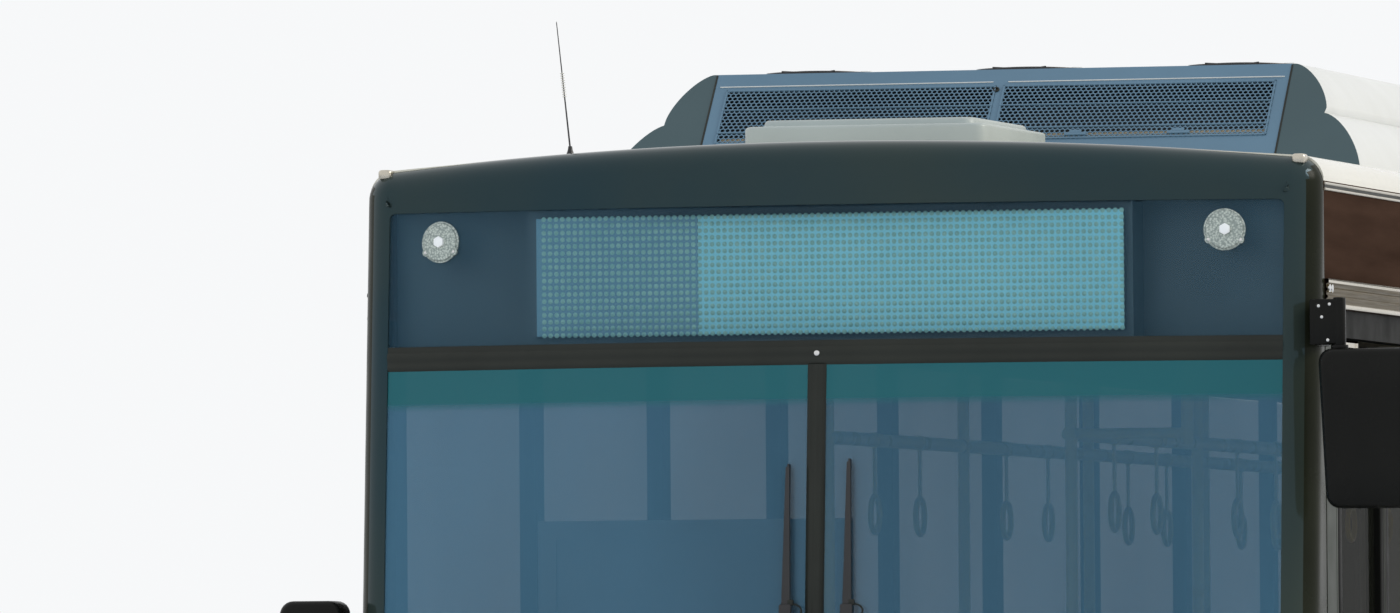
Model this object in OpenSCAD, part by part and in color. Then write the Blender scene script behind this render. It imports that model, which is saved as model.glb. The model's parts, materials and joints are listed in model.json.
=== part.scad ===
// City route bus, low floor, driver on the right-hand side.
// The front faces -Y, the doors are on +X, and the wheels stand on Z = 0.

/* [Body] */
// Overall length over the bumpers
body_l = 12400; // [11600:100:13200]
// Width over the side walls
body_w = 2500; // [2440:10:2550]
// Height of the roof skin on the centre line
roof_z = 3024; // [2990:2:3060]
// Thickness of the side, front and rear walls
wall_t = 60; // [50:5:70]
// Height of the lower edge of the skirt
skirt_z = 280; // [240:10:320]
// Height of the window sill
sill_z = 1120; // [1100:10:1180]
// Height of the lower edge of the cantrail panel
cantrail_z = 2600; // [2580:5:2660]
// Height of the aluminium rail on the cantrail
rail_h = 72; // [60:2:80]
// Radius of the cove between roof and side
cove_r = 65; // [60:5:90]
// Drop of the roof from the centre line to the coves
roof_crown = 40; // [30:5:60]

/* [Front mask] */
// Plan radius of the bulged front
front_r = 4800; // [4600:100:5600]
// Plan radius of the front corners
corner_r = 80; // [75:5:90]
// Distance from the front bumper to the mask's rear edge
mask_depth = 430; // [425:5:480]
// Backward lean of the windscreen in degrees
screen_rake = 4.5; // [3:0.5:4.5]
// Height of the lower edge of the windscreen
screen_z = 1050; // [1000:10:1100]
// Height of the top edge of the mask on the centre line
mask_z = 3035; // [3030:5:3070]
// Drop of the mask's top edge from the centre to the corners
mask_arch = 52; // [44:2:60]
// Centre height of the bar between screen and sign glass
bar_z = 2491; // [2470:1:2510]
// Height of that bar
bar_h = 50; // [45:1:70]
// Width of the windscreen's centre divider
divider_w = 49; // [40:1:60]
// Height of the top edge of the sign glass
sign_top_z = 2872; // [2850:2:2890]
// Width of the mask's post beside the glass
mask_side = 80; // [75:5:110]
// Thickness of the front glass
glass_t = 8; // [6:1:12]
// Width of the dot-matrix board
board_w = 1540; // [1400:10:1600]
// Height of the dot-matrix board
board_h = 300; // [260:5:310]
// Centre height of the dot-matrix board
board_z = 2699; // [2690:1:2705]
// Radius of the round marker lamps
lamp_r = 49; // [40:1:55]
// Centre height of the marker lamps
lamp_z = 2795; // [2780:1:2800]

/* [Floor and openings] */
// Height of the low floor
floor_z = 360; // [340:5:380]
// Height of the raised rear floor
rear_floor_z = 820; // [800:5:860]
// Thickness of both floors
floor_t = 60; // [50:5:60]
// Distance between the turning posts of a doorway
door_w = 1190; // [1150:10:1220]
// Height of the top of a doorway
door_top_z = 2530; // [2480:5:2530]
// Thickness of a door leaf
leaf_t = 40; // [34:2:44]
// Distance from the front bumper to the front doorway's first post
front_door_y = 565; // [560:5:600]
// Distance from the front bumper to the centre doorway's first post
mid_door_y = 4400; // [4350:10:4500]

/* [Wheels] */
// Distance from the front bumper to the front axle
front_overhang = 2750; // [2700:10:2800]
// Distance between the axles
wheelbase = 6250; // [6000:50:6400]
// Outer radius of a tyre
tyre_r = 478.5; // [470:0.5:485]
// Width of a tyre
tyre_w = 276; // [260:2:290]
// Radius of the rim's outside
rim_r = 286; // [280:1:290]
// Distance of the outer tyres' faces inside the side walls
tyre_inset = 40; // [30:1:50]
// Distance of the kingpins inside the front wheels' middles
kingpin_inset = 192; // [185:1:200]
// Distance between the middles of the twin tyres
twin_pitch = 326; // [310:2:330]
// Radius of the wheel arches
arch_r = 600; // [590:5:615]
// Radius of the wheel spindles
spindle_r = 32; // [28:1:40]
// Radius of the kingpins
kingpin_r = 22; // [18:1:26]
// Radial running clearance of pins and spindles
run_gap = 0.05; // [0.02:0.01:0.1]

/* [Seats] */
// Distance between seat rows on the low floor
low_pitch = 780; // [740:10:820]
// Distance between seat rows on the raised floor
high_pitch = 640; // [620:10:700]
// Width of a double seat
seat_w = 800; // [760:10:860]
// Height of a seat shell above the floor
seat_h = 430; // [400:5:450]
// Height of a seat's back above its shell
back_h = 570; // [520:10:620]
// Radius of the handrails
hand_r = 16; // [14:1:19]
// Height of the ceiling rails
hand_z = 2310; // [2250:5:2350]

/* [Roof equipment] */
// Distance from the front bumper to the foot of the roof unit
unit_y = 1940; // [1900:10:2000]
// Length of the roof unit
unit_l = 3000; // [2600:50:3400]
// Width of the roof unit's flat front face
unit_w = 1580; // [1500:10:1640]
// Height of the roof unit's top
unit_z = 3300; // [3280:5:3340]
// Backward slope of the unit's front face, foot to top
unit_slope = 255; // [200:5:300]
// Radius of the fan rings
fan_r = 149; // [130:1:160]
// Distance between the fans' middles
fan_pitch = 585; // [560:5:600]
// Distance from the front bumper to the front roof hatch
hatch_y = 650; // [640:10:720]
// Width of a roof hatch
hatch_w = 640; // [600:10:680]
// Length of a roof hatch
hatch_l = 700; // [660:10:740]
// Height of a roof hatch above the roof
hatch_h = 84; // [76:2:100]
// Height of the hatch's lower tier above the roof
hatch_lip = 67; // [50:1:70]

/* [Hidden] */

paint_black = [0.03, 0.04, 0.045];
paint_cream = [0.86, 0.84, 0.76];
paint_brown = [0.24, 0.19, 0.16];
trim_black = [0.06, 0.06, 0.06];
floor_grey = [0.35, 0.37, 0.38];
bare_metal = [0.62, 0.62, 0.60];
clear_lens = [0.8, 0.85, 0.85];
tinted = [0.25, 0.38, 0.42, 0.6];
$fn = 96;
big_fn = 1440;

half_w = body_w / 2;
front_y = -body_l / 2;
rear_y = body_l / 2;
in_x = half_w - wall_t;
seam = 4;
fit = 0.3;
glass_w = body_w - 2 * mask_side;
mask_back_y = front_y + mask_depth;
screen_y = front_y + 40;
rear_wall_t = 80;
rear_wall_y = rear_y - rear_wall_t;
front_axle_y = front_y + front_overhang;
rear_axle_y = front_axle_y + wheelbase;
axle_z = tyre_r;
track_x = half_w - tyre_inset - tyre_w / 2;
kingpin_x = track_x - kingpin_inset;

door_a_y = front_y + front_door_y;
door_a_end = door_a_y + door_w;
door_c_y = front_y + mid_door_y;
door_c_end = door_c_y + door_w;
post_r = 18;
post_gap = post_r + 7;

// Wheel boxes rise over the tyres inside the body
box_t = 30;
box_gap = 38;
box_end = 10;
box_x = track_x - twin_pitch - tyre_w / 2 - box_gap - box_t;

// Two steps lead from the low floor up to the rear floor
step_run = 300;
step_y = rear_axle_y - arch_r - box_end - box_t - 2 * step_run;
rear_floor_y = step_y + 2 * step_run;

roof_side_z = roof_z - roof_crown;
cove_z = roof_side_z - cove_r;
roof_r = (pow(half_w - cove_r, 2) + pow(roof_crown, 2)) / (2 * roof_crown);

// Heights of the roof's skin and of its underside at a distance from the centre plane
function roof_top(x) = roof_z - roof_r + sqrt(roof_r * roof_r - x * x);
function roof_under(x) = roof_top(x) - wall_t;

// A box between two corners
module span(low, high) {
    translate(low) cube(high - low);
}

// A bar of round section along X
module x_bar(x0, x1, y, z, r) {
    translate([x0, y, z]) rotate([0, 90, 0]) cylinder(r = r, h = x1 - x0);
}

// A bar of round section along Y
module y_bar(x, y0, y1, z, r) {
    translate([x, y1, z]) rotate([90, 0, 0]) cylinder(r = r, h = y1 - y0);
}

// A bar of round section along Z
module z_bar(x, y, z0, z1, r) {
    translate([x, y, z0]) cylinder(r = r, h = z1 - z0);
}

// The children on +X for s = 1, or mirrored to -X for s = -1
module side(s) {
    mirror([s > 0 ? 0 : 1, 0, 0]) children();
}

// Cross-section with a crowned top and rounded upper corners, down to its corners' centres
module crowned(top_z, crown, r) {
    cx = half_w - r;
    big_r = (cx * cx + crown * crown) / (2 * crown);
    corner_z = top_z - crown - r;
    intersection() {
        translate([0, top_z - big_r]) circle(r = big_r, $fn = big_fn);
        union() {
            translate([-half_w, corner_z - 1]) square([body_w, 1.5]);
            translate([-cx + 6, corner_z - 1]) square([2 * cx - 12, crown + 2 * r]);
            for (s = [-1, 1]) translate([s * cx, corner_z]) circle(r = r + 1);
        }
        translate([-half_w, corner_z]) square([body_w, crown + 2 * r]);
    }
}

// Plan outline of the front, with the bulge's foremost point at y = 0
module front_plan(inset) {
    r = front_r - inset;
    c = corner_r - inset;
    cx = half_w - corner_r;
    swing = asin(cx / (front_r - corner_r));
    cy = front_r - (front_r - corner_r) * cos(swing) - 2;
    tx = cx + corner_r * sin(swing);
    intersection() {
        translate([0, front_r]) circle(r = r, $fn = big_fn);
        union() {
            translate([-tx, -50]) square([2 * tx, 900]);
            translate([-half_w + inset, cy]) square([body_w - 2 * inset, body_l]);
            for (s = [-1, 1]) translate([s * (cx - 1), cy]) circle(r = c);
        }
    }
}

// Spare height that lets the leaning slices be cut level
level = 60;

// The space inside the leaning front wall between two heights, from an inset inwards
module front_inside(z0, z1, inset) {
    lean = cos(screen_rake);
    translate([0, screen_y, screen_z]) rotate([-screen_rake, 0, 0])
        translate([0, 0, (z0 - screen_z) / lean])
            linear_extrude((z1 - z0) / lean) front_plan(inset);
}

// A stretch of the leaning front wall between two heights and two depths
module front_wall(z0, z1, out, t) {
    lean = cos(screen_rake);
    translate([0, screen_y, screen_z]) rotate([-screen_rake, 0, 0])
        translate([0, 0, (z0 - screen_z) / lean])
            linear_extrude((z1 - z0) / lean) difference() {
                front_plan(out);
                front_plan(out + t);
            }
}

// Places the children on the leaning front's surface, with -Y outwards
module on_screen(x, z) {
    plan_y = front_r - sqrt(front_r * front_r - x * x);
    translate([0, screen_y, screen_z]) rotate([-screen_rake, 0, 0])
        translate([x, plan_y, (z - screen_z + plan_y * sin(screen_rake)) / cos(screen_rake)])
            rotate([0, 0, asin(x / front_r)]) children();
}

// An upright stretch of the lower front wall
module lower_front(z0, z1, inset, t) {
    translate([0, front_y, z0]) linear_extrude(z1 - z0) difference() {
        front_plan(inset);
        front_plan(inset + t);
    }
}

// What lies ahead of a place along the bus
module ahead(y, z0, z1) {
    span([-half_w - 100, front_y - 100, z0], [half_w + 100, y, z1]);
}

beam_x = 420;
beam_w = 80;
beam_low = 180;
rear_beam_h = 120;

module chassis_beams() {
    cross_w = 80;
    cross_n = 3;
    end_gap = 150;
    high = floor_z - floor_t;
    bays = [[front_y + 500, front_axle_y - 500], [front_axle_y + 500, step_y]];
    color(trim_black) {
        for (b = bays) {
            for (s = [-1, 1])
                span([s * beam_x - beam_w / 2, b[0], beam_low], [s * beam_x + beam_w / 2, b[1], high]);
            pitch = (b[1] - b[0] - 2 * end_gap - cross_w) / (cross_n - 1);
            for (i = [0:cross_n - 1]) {
                y = b[0] + end_gap + i * pitch;
                span([-beam_x + beam_w / 2, y, beam_low + 20], [beam_x - beam_w / 2, y + cross_w, high]);
            }
        }
        for (s = [-1, 1])
            span([s * beam_x - beam_w / 2, rear_floor_y, rear_floor_z - floor_t - rear_beam_h],
                 [s * beam_x + beam_w / 2, rear_wall_y, rear_floor_z - floor_t]);
    }
}

// The places in a floor that the wheel boxes stand over
module wheel_cuts(y, z) {
    for (s = [-1, 1]) side(s)
        span([box_x + box_t, y - arch_r - box_end, 0], [in_x + 1, y + arch_r + box_end, z + 1]);
}

module low_floor() {
    color(floor_grey) difference() {
        span([-in_x, mask_back_y, floor_z - floor_t], [in_x, step_y, floor_z]);
        wheel_cuts(front_axle_y, floor_z);
    }
    color(bare_metal) for (y = [door_a_y, door_c_y])
        span([in_x, y - post_gap, floor_z - floor_t], [half_w - 2, y + door_w + post_gap, floor_z]);
}

module rear_floor() {
    rise = (rear_floor_z - floor_z) / 3;
    color(floor_grey) {
        difference() {
            span([-in_x, rear_floor_y, rear_floor_z - floor_t], [in_x, rear_wall_y, rear_floor_z]);
            wheel_cuts(rear_axle_y, rear_floor_z);
        }
        for (i = [0, 1])
            span([-in_x, step_y + i * step_run, floor_z - floor_t + i * rise],
                 [in_x, step_y + (i + 1) * step_run, floor_z + (i + 1) * rise]);
    }
}

module wheel_box(s, y, foot_z) {
    top = axle_z + arch_r;
    reach = arch_r + box_end;
    side(s) difference() {
        span([box_x, y - reach - box_t, foot_z], [in_x, y + reach + box_t, top + box_t]);
        span([box_x + box_t, y - reach, foot_z - 1], [in_x + 1, y + reach, top]);
    }
}

module wheel_boxes() {
    color(floor_grey) for (s = [-1, 1]) {
        wheel_box(s, front_axle_y, floor_z);
        wheel_box(s, rear_axle_y, rear_floor_z);
    }
}

module engine_block() {
    engine_w = 760;
    engine_l = 1420;
    engine_z = 330;
    tail_gap = 80;
    color([0.2, 0.2, 0.2])
        span([-engine_w / 2, rear_wall_y - tail_gap - engine_l, engine_z],
             [engine_w / 2, rear_wall_y - tail_gap, rear_floor_z - floor_t]);
}

steer_arm = 200;
ball_r = 12;
eye_h = 90;
rod_drop = 232;

module front_axle() {
    beam_top = floor_z - floor_t - 20;
    beam_h = 90;
    beam_y = 50;
    upright_x = kingpin_x - steer_arm;
    upright_w = 80;
    eye_y = 40;
    eye_r = 48;
    saddle_x = 480;
    saddle_w = 120;
    color(trim_black) translate([0, front_axle_y, 0]) {
        span([-upright_x, -beam_y, beam_top - beam_h], [upright_x, beam_y, beam_top]);
        for (s = [-1, 1]) side(s) {
            span([saddle_x - saddle_w / 2, -beam_y, beam_top],
                 [saddle_x + saddle_w / 2, beam_y, floor_z - floor_t]);
            difference() {
                union() {
                    span([upright_x - upright_w, -beam_y, beam_top - beam_h],
                         [upright_x, beam_y, axle_z + eye_h / 2]);
                    span([upright_x, -eye_y, axle_z - eye_h / 2], [kingpin_x, eye_y, axle_z + eye_h / 2]);
                    z_bar(kingpin_x, 0, axle_z - eye_h / 2, axle_z + eye_h / 2, eye_r);
                }
                z_bar(kingpin_x, 0, 0, 2 * axle_z, kingpin_r + run_gap);
            }
        }
    }
}

// Steering knuckle with kingpin, wheel spindle and steering arm
module knuckle(s) {
    lug_z = eye_h / 2 + 7;
    lug_t = 30;
    lug_r = 45;
    web_x = kingpin_x + 62;
    web_t = 18;
    web_y = 60;
    arm_w = 40;
    arm_t = 20;
    arm_drop = rod_drop - 17;
    stub = 80;
    color(bare_metal) translate([0, front_axle_y, axle_z]) side(s) {
        z_bar(kingpin_x, 0, -lug_z - lug_t, lug_z + lug_t, kingpin_r);
        for (z = [-lug_z - lug_t, lug_z]) hull() {
            z_bar(kingpin_x, 0, z, z + lug_t, lug_r, $fn = 32);
            span([web_x, -web_y, z], [web_x + web_t, web_y, z + lug_t]);
        }
        span([web_x, -web_y, -lug_z - lug_t], [web_x + web_t, web_y, lug_z + lug_t]);
        x_bar(web_x + web_t / 2, track_x + stub, 0, 0, spindle_r);
        z_bar(kingpin_x, 0, -arm_drop, -lug_z - lug_t + 1, 30);
        span([kingpin_x - arm_w / 2, 0, -arm_drop], [kingpin_x + arm_w / 2, steer_arm, arm_t - arm_drop]);
        z_bar(kingpin_x, steer_arm, -rod_drop - arm_t + 3, arm_t - arm_drop, ball_r);
    }
}

// The right-hand eye stands open, 3 mm wider than its pin
module tie_rod() {
    y = front_axle_y + steer_arm;
    z = axle_z - rod_drop;
    rod_r = 12.5;
    eye_t = 14;
    eye_r = 28;
    open_gap = 3;
    color(bare_metal) difference() {
        union() {
            x_bar(-kingpin_x + 20, kingpin_x - 20, y, z, rod_r);
            for (s = [-1, 1]) z_bar(s * kingpin_x, y, z - eye_t, z + eye_t, eye_r);
        }
        z_bar(kingpin_x, y, z - 20, z + 20, ball_r + run_gap);
        z_bar(-kingpin_x, y, z - 20, z + 20, ball_r + open_gap);
    }
}

// Rim with its disc and a hub of the given ends, turned about X
module rim(x, hub_x0, hub_x1) {
    w = tyre_w - 58;
    flange_t = 10;
    flange_h = 15;
    rim_t = 14;
    hub_r = 100;
    disc_x = 30;
    disc_t = 14;
    translate([x, 0, axle_z]) rotate([0, 90, 0]) rotate_extrude() {
        translate([rim_r - rim_t, -w / 2]) square([rim_t, w]);
        for (z = [-w / 2 - flange_t, w / 2 - 1])
            translate([rim_r - rim_t, z]) square([rim_t + flange_h, flange_t + 1]);
        translate([spindle_r + run_gap, hub_x0]) square([hub_r - spindle_r, hub_x1 - hub_x0]);
        translate([hub_r - 10, disc_x]) square([rim_r - hub_r + 5, disc_t]);
    }
}

module tyre(x) {
    shoulder = 45;
    bead_w = tyre_w - 62;
    wall_r = rim_r + 24;
    translate([x, 0, axle_z]) rotate([0, 90, 0]) rotate_extrude() {
        translate([rim_r + fit, -bead_w / 2]) square([tyre_r - rim_r - fit, bead_w]);
        translate([wall_r, -tyre_w / 2]) square([tyre_r - wall_r - shoulder, tyre_w]);
        for (k = [-1, 1]) translate([tyre_r - shoulder - 1, k * (tyre_w / 2 - shoulder)])
            circle(r = shoulder, $fn = 32);
    }
}

hub_out = 100;

module front_rim(s) {
    color(bare_metal) translate([0, front_axle_y, 0]) side(s) rim(track_x, -90, hub_out);
}

module front_tyre(s) {
    color(trim_black) translate([0, front_axle_y, 0]) side(s) tyre(track_x);
}

module rear_rims(s) {
    color(bare_metal) translate([0, rear_axle_y, 0]) side(s) {
        rim(track_x, -twin_pitch / 2, hub_out);
        rim(track_x - twin_pitch, -60, twin_pitch / 2);
    }
}

module rear_tyres(s) {
    color(trim_black) translate([0, rear_axle_y, 0]) side(s) {
        tyre(track_x);
        tyre(track_x - twin_pitch);
    }
}

module rear_axle() {
    tube_x = 560;
    tube_r = 75;
    case_w = 340;
    case_r = 185;
    spring_r = 100;
    color(trim_black) translate([0, rear_axle_y, 0]) {
        x_bar(-tube_x, tube_x, 0, axle_z, tube_r);
        x_bar(-track_x - hub_out + 10, track_x + hub_out - 10, 0, axle_z, spindle_r);
        x_bar(-case_w / 2, case_w / 2, 0, axle_z, case_r);
        for (s = [-1, 1])
            z_bar(s * beam_x, 0, axle_z + 60, rear_floor_z - floor_t - rear_beam_h, spring_r);
    }
}

arch_half = arch_r + 60;
front_arch = [front_axle_y - arch_half, front_axle_y + arch_half];
rear_arch = [rear_axle_y - arch_half, rear_axle_y + arch_half];
tail_mid_y = (rear_arch[1] + rear_wall_y) / 2;
// Plain skirt panels of each side, as [from y, to y]
skirts_left = [[mask_back_y, door_a_y - post_gap], [door_a_end + post_gap, front_arch[0] - seam],
    [front_arch[1] + seam, door_c_y - post_gap], [door_c_end + post_gap, rear_arch[0] - seam],
    [rear_arch[1] + seam, tail_mid_y - seam], [tail_mid_y, rear_wall_y]];
skirts_right = [[mask_back_y, front_arch[0] - seam], [front_arch[1] + seam, door_c_y - seam],
    [door_c_y, rear_arch[0] - seam], [rear_arch[1] + seam, tail_mid_y - seam],
    [tail_mid_y, rear_wall_y]];

module skirt_panels() {
    color(paint_cream) {
        for (p = skirts_left) span([in_x, p[0], skirt_z], [half_w, p[1], sill_z]);
        for (p = skirts_right) span([-half_w, p[0], skirt_z], [-in_x, p[1], sill_z]);
    }
}

module arch_panels() {
    color(paint_cream) for (s = [-1, 1], a = [front_axle_y, rear_axle_y]) side(s) difference() {
        span([in_x, a - arch_half, skirt_z], [half_w, a + arch_half, sill_z]);
        x_bar(0, half_w + 1, a, axle_z, arch_r);
        span([0, a - arch_r, 0], [half_w + 1, a + arch_r, axle_z]);
    }
}

// Window pillars stand between sill and cantrail at these places
pillar_w = 80;
post_side = post_gap + pillar_w / 2;
tail_bays = 5;
tail_span = rear_wall_y - pillar_w / 2 - door_c_end - post_side;
pillar_ys_left = concat([door_a_end + post_side, (door_a_end + door_c_y) / 2],
    [door_c_y - post_side, door_c_end + post_side],
    [for (i = [1:tail_bays]) door_c_end + post_side + i * tail_span / tail_bays]);
right_bays = 8;
right_span = rear_wall_y - pillar_w / 2 - door_a_end - post_side;
pillar_ys_right = [for (i = [0:right_bays]) door_a_end + post_side + i * right_span / right_bays];

pane_in = 4;
pane_t = 10;
pane_gap = 10;
pillar_x = half_w - pane_in - pane_t;

module window_pillars() {
    color(trim_black) for (s = [-1, 1]) side(s) {
        for (y = s > 0 ? pillar_ys_left : pillar_ys_right)
            span([in_x, y - pillar_w / 2, sill_z], [pillar_x, y + pillar_w / 2, cantrail_z]);
        span([in_x, mask_back_y, sill_z], [pillar_x, door_a_y - post_gap, cantrail_z]);
        if (s > 0) for (y = [door_a_y, door_c_y])
            span([in_x, y - post_gap + fit, door_top_z],
                 [pillar_x, y + door_w + post_gap - fit, cantrail_z]);
    }
}

module pane(y0, y1) {
    span([pillar_x, y0 + pane_gap / 2, sill_z + 3], [pillar_x + pane_t, y1 - pane_gap / 2, cantrail_z - 3]);
}

// A pane bonded over each two neighbouring pillars, and the driver's window
module side_windows() {
    color(tinted) {
        for (i = [0:len(pillar_ys_left) - 2])
            if (pillar_ys_left[i + 1] < door_c_y || pillar_ys_left[i] > door_c_y)
                pane(pillar_ys_left[i], pillar_ys_left[i + 1]);
        side(-1) {
            for (i = [0:right_bays - 1]) pane(pillar_ys_right[i], pillar_ys_right[i + 1]);
            pane(door_a_y - post_gap - 25, pillar_ys_right[0]);
        }
    }
}

module cantrail_panels() {
    color(paint_brown) for (s = [-1, 1]) side(s)
        span([in_x, mask_back_y, cantrail_z], [half_w, rear_wall_y, cove_z]);
}

module side_rails() {
    rail_t = 12;
    color(bare_metal) for (s = [-1, 1]) side(s)
        span([half_w, mask_back_y, cantrail_z], [half_w + rail_t, rear_wall_y, cantrail_z + rail_h]);
}

front_hatch_y = front_y + hatch_y;
rear_hatch_y = rear_wall_y - 2200;
curb_h = 5;
curb_in = 30;
hole_in = 60;

module roof() {
    under_fit = wall_t + fit;
    color(paint_cream) difference() {
        union() {
            intersection() {
                translate([0, rear_wall_y, 0]) rotate([90, 0, 0])
                    linear_extrude(rear_wall_y - front_y) crowned(roof_z, roof_crown, cove_r);
                union() {
                    front_inside(cove_z - level, roof_z + level, under_fit);
                    span([-half_w, mask_back_y, 0], [half_w, rear_y, 2 * roof_z]);
                }
            }
            for (y = [front_hatch_y, rear_hatch_y])
                span([-hatch_w / 2 + curb_in, y + curb_in, roof_z - 40],
                     [hatch_w / 2 - curb_in, y + hatch_l - curb_in, roof_z + curb_h - fit]);
        }
        translate([0, rear_wall_y + 1, 0]) rotate([90, 0, 0])
            linear_extrude(rear_wall_y - front_y + 2) translate([0, -wall_t]) intersection() {
                translate([0, roof_z - roof_r]) circle(r = roof_r, $fn = big_fn);
                translate([-in_x, cove_z - 50]) square([2 * in_x, 400]);
            }
        for (y = [front_hatch_y, rear_hatch_y])
            span([-hatch_w / 2 + hole_in, y + hole_in, roof_z - 200],
                 [hatch_w / 2 - hole_in, y + hatch_l - hole_in, roof_z + 50]);
    }
}

// Low lid in two tiers over a square hole in the roof
module hatch(y) {
    tier_in = 40;
    color([0.75, 0.78, 0.74]) {
        span([-hatch_w / 2, y, roof_z + curb_h], [hatch_w / 2, y + hatch_l, roof_z + hatch_lip]);
        span([-hatch_w / 2 + tier_in, y + tier_in, roof_z + hatch_lip],
             [hatch_w / 2 - tier_in, y + hatch_l - tier_in, roof_z + hatch_h]);
    }
}

mask_cove = 75;

module front_mask() {
    color(paint_black) difference() {
        intersection() {
            front_wall(screen_z - level, mask_z + level, 0, wall_t);
            ahead(mask_back_y, screen_z, 2 * mask_z);
            union() {
                translate([0, rear_y, 0]) rotate([90, 0, 0])
                    linear_extrude(body_l + 200) crowned(mask_z, mask_arch, mask_cove);
                span([-half_w - 1, front_y - 10, 0],
                     [half_w + 1, rear_y, mask_z - mask_arch - mask_cove + 1]);
            }
        }
        span([-glass_w / 2, front_y - 10, screen_z - 10], [glass_w / 2, mask_back_y + 10, sign_top_z]);
    }
}

glass_in = 4;
bar_lap = 20;

// A bent pane of the front between two heights and two widths
module front_pane(x0, x1, z0, z1) {
    intersection() {
        front_wall(z0 - level, z1 + level, glass_in, glass_t);
        span([x0, front_y - 10, z0], [x1, mask_back_y, z1]);
    }
}

lamp_inset = 225;
lamp_x = half_w - lamp_inset;
lamp_body_r = 38;

module sign_glass() {
    color(tinted) difference() {
        front_pane(-glass_w / 2, glass_w / 2, bar_z + bar_h / 2 - bar_lap, sign_top_z - 1);
        for (s = [-1, 1]) on_screen(s * lamp_x, lamp_z) y_bar(0, -20, 60, 0, lamp_body_r + fit);
    }
}

module windscreen() {
    middle_gap = 6;
    color(tinted) for (s = [-1, 1]) side(s)
        front_pane(middle_gap / 2, glass_w / 2, screen_z + 1, bar_z - bar_h / 2 + bar_lap);
}

// Round clear lamps, each with its body in a hole of the sign glass
module marker_lamps() {
    lens_t = 14;
    body_t = 34;
    color(clear_lens) for (s = [-1, 1]) on_screen(s * lamp_x, lamp_z) {
        y_bar(0, glass_in - fit - lens_t, glass_in - fit, 0, lamp_r);
        y_bar(0, glass_in - lens_t, glass_in + body_t, 0, lamp_body_r);
    }
}

bar_out = 4;

module screen_bars() {
    t = bar_out + glass_in - fit;
    color(trim_black) {
        intersection() {
            front_wall(bar_z - bar_h / 2 - level, bar_z + bar_h / 2 + level, -bar_out, t);
            span([-glass_w / 2 + fit, front_y - 40, bar_z - bar_h / 2],
                 [glass_w / 2 - fit, mask_back_y, bar_z + bar_h / 2]);
        }
        intersection() {
            front_wall(screen_z - level, bar_z, -bar_out, t);
            span([-divider_w / 2, front_y - 40, screen_z + 1],
                 [divider_w / 2, mask_back_y, bar_z - bar_h / 2 + 1]);
        }
    }
}

board_y = front_y + 260;
board_t = 20;

// Dot-matrix board on its housing, on a cross plate that reaches the side walls and the roof
module sign_board() {
    housing_y = board_y + 140;
    margin = 20;
    crest_x = 600;
    plate_x = in_x - margin;
    low = board_z - board_h / 2;
    color(trim_black) {
        span([-board_w / 2, board_y, low], [board_w / 2, board_y + board_t, low + board_h]);
        span([-board_w / 2 - margin, board_y + board_t, low - margin],
             [board_w / 2 + margin, housing_y, low + board_h + margin]);
        span([-plate_x, housing_y, low - margin], [plate_x, housing_y + board_t, cove_z]);
        span([-crest_x, housing_y, cove_z - 1], [crest_x, housing_y + board_t, roof_under(crest_x) - fit]);
    }
}

bumper_top_z = 520;
bumper_t = 70;
panel_in = 20;
panel_t = 55;
tow_r = 20;
tow_z = 400;
lamp_low = 620;
lamp_high = 800;
lamp_out = 100;
lamp_w = 380;

// Space of a headlamp in the front panel, narrowed by a gap
module headlamp_space(gap) {
    for (s = [-1, 1]) side(s)
        span([half_w - lamp_out - lamp_w + gap, front_y - 10, lamp_low + gap],
             [half_w - lamp_out - gap, front_y + mask_depth - 80, lamp_high - gap]);
}

module front_panel() {
    color(paint_black) difference() {
        intersection() {
            lower_front(bumper_top_z, screen_z - fit, panel_in, panel_t);
            ahead(mask_back_y, 0, screen_z + 1);
        }
        headlamp_space(0);
    }
}

module headlamps() {
    lens_t = 30;
    color(clear_lens) intersection() {
        lower_front(lamp_low - 1, lamp_high + 1, panel_in + 2, lens_t);
        headlamp_space(fit);
    }
}

// Bumper in a middle piece and two corners
module front_bumper() {
    corner_x = 760;
    edges = [-half_w - 1, -corner_x, corner_x, half_w + 1];
    color(paint_black) difference() {
        for (i = [0:2]) intersection() {
            lower_front(skirt_z, bumper_top_z - fit, 0, bumper_t);
            span([edges[i] + seam / 2, front_y - 10, 0],
                 [edges[i + 1] - seam / 2, mask_back_y, bumper_top_z]);
        }
        y_bar(0, front_y - 20, front_y + 200, tow_z, tow_r);
    }
}

// The wipers, as [x, height of the blade's tip above the screen's edge]
wiper_list = [[90, 1180], [-68, 1168]];

module wipers() {
    spindle_z = -60;
    arm_w = 18;
    arm_t = 12;
    arm_h = 700;
    blade_w = 14;
    blade_foot = 160;
    arm_out = 20;
    spindle_r = 20;
    color(trim_black) for (w = wiper_list) {
        on_screen(w[0], screen_z) {
            span([-arm_w / 2, -arm_out - arm_t, spindle_z], [arm_w / 2, -arm_out, arm_h]);
            span([-blade_w / 2, -arm_out - 1, blade_foot], [blade_w / 2, glass_in - fit, w[1]]);
        }
        y_bar(w[0], front_y + 5, front_y + panel_in - fit, screen_z + spindle_z, spindle_r);
    }
}

module antenna() {
    mast_x = -770;
    mast_y = front_y + 620;
    foot_r = 16;
    whip_r = 2.5;
    whip_h = 330;
    whip_lean = 6;
    color(trim_black) {
        z_bar(mast_x, mast_y, roof_top(mast_x + foot_r) + fit, roof_z + 20, foot_r);
        translate([mast_x, mast_y, roof_z + 19]) rotate([0, -whip_lean, 0])
            cylinder(r = whip_r, h = whip_h);
    }
}

// The outside mirrors, as [side, head width, head's lower edge, bracket's lower edge]
mirror_list = [[1, 250, 2090, 2500], [-1, 165, 1482, 1600]];

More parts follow.
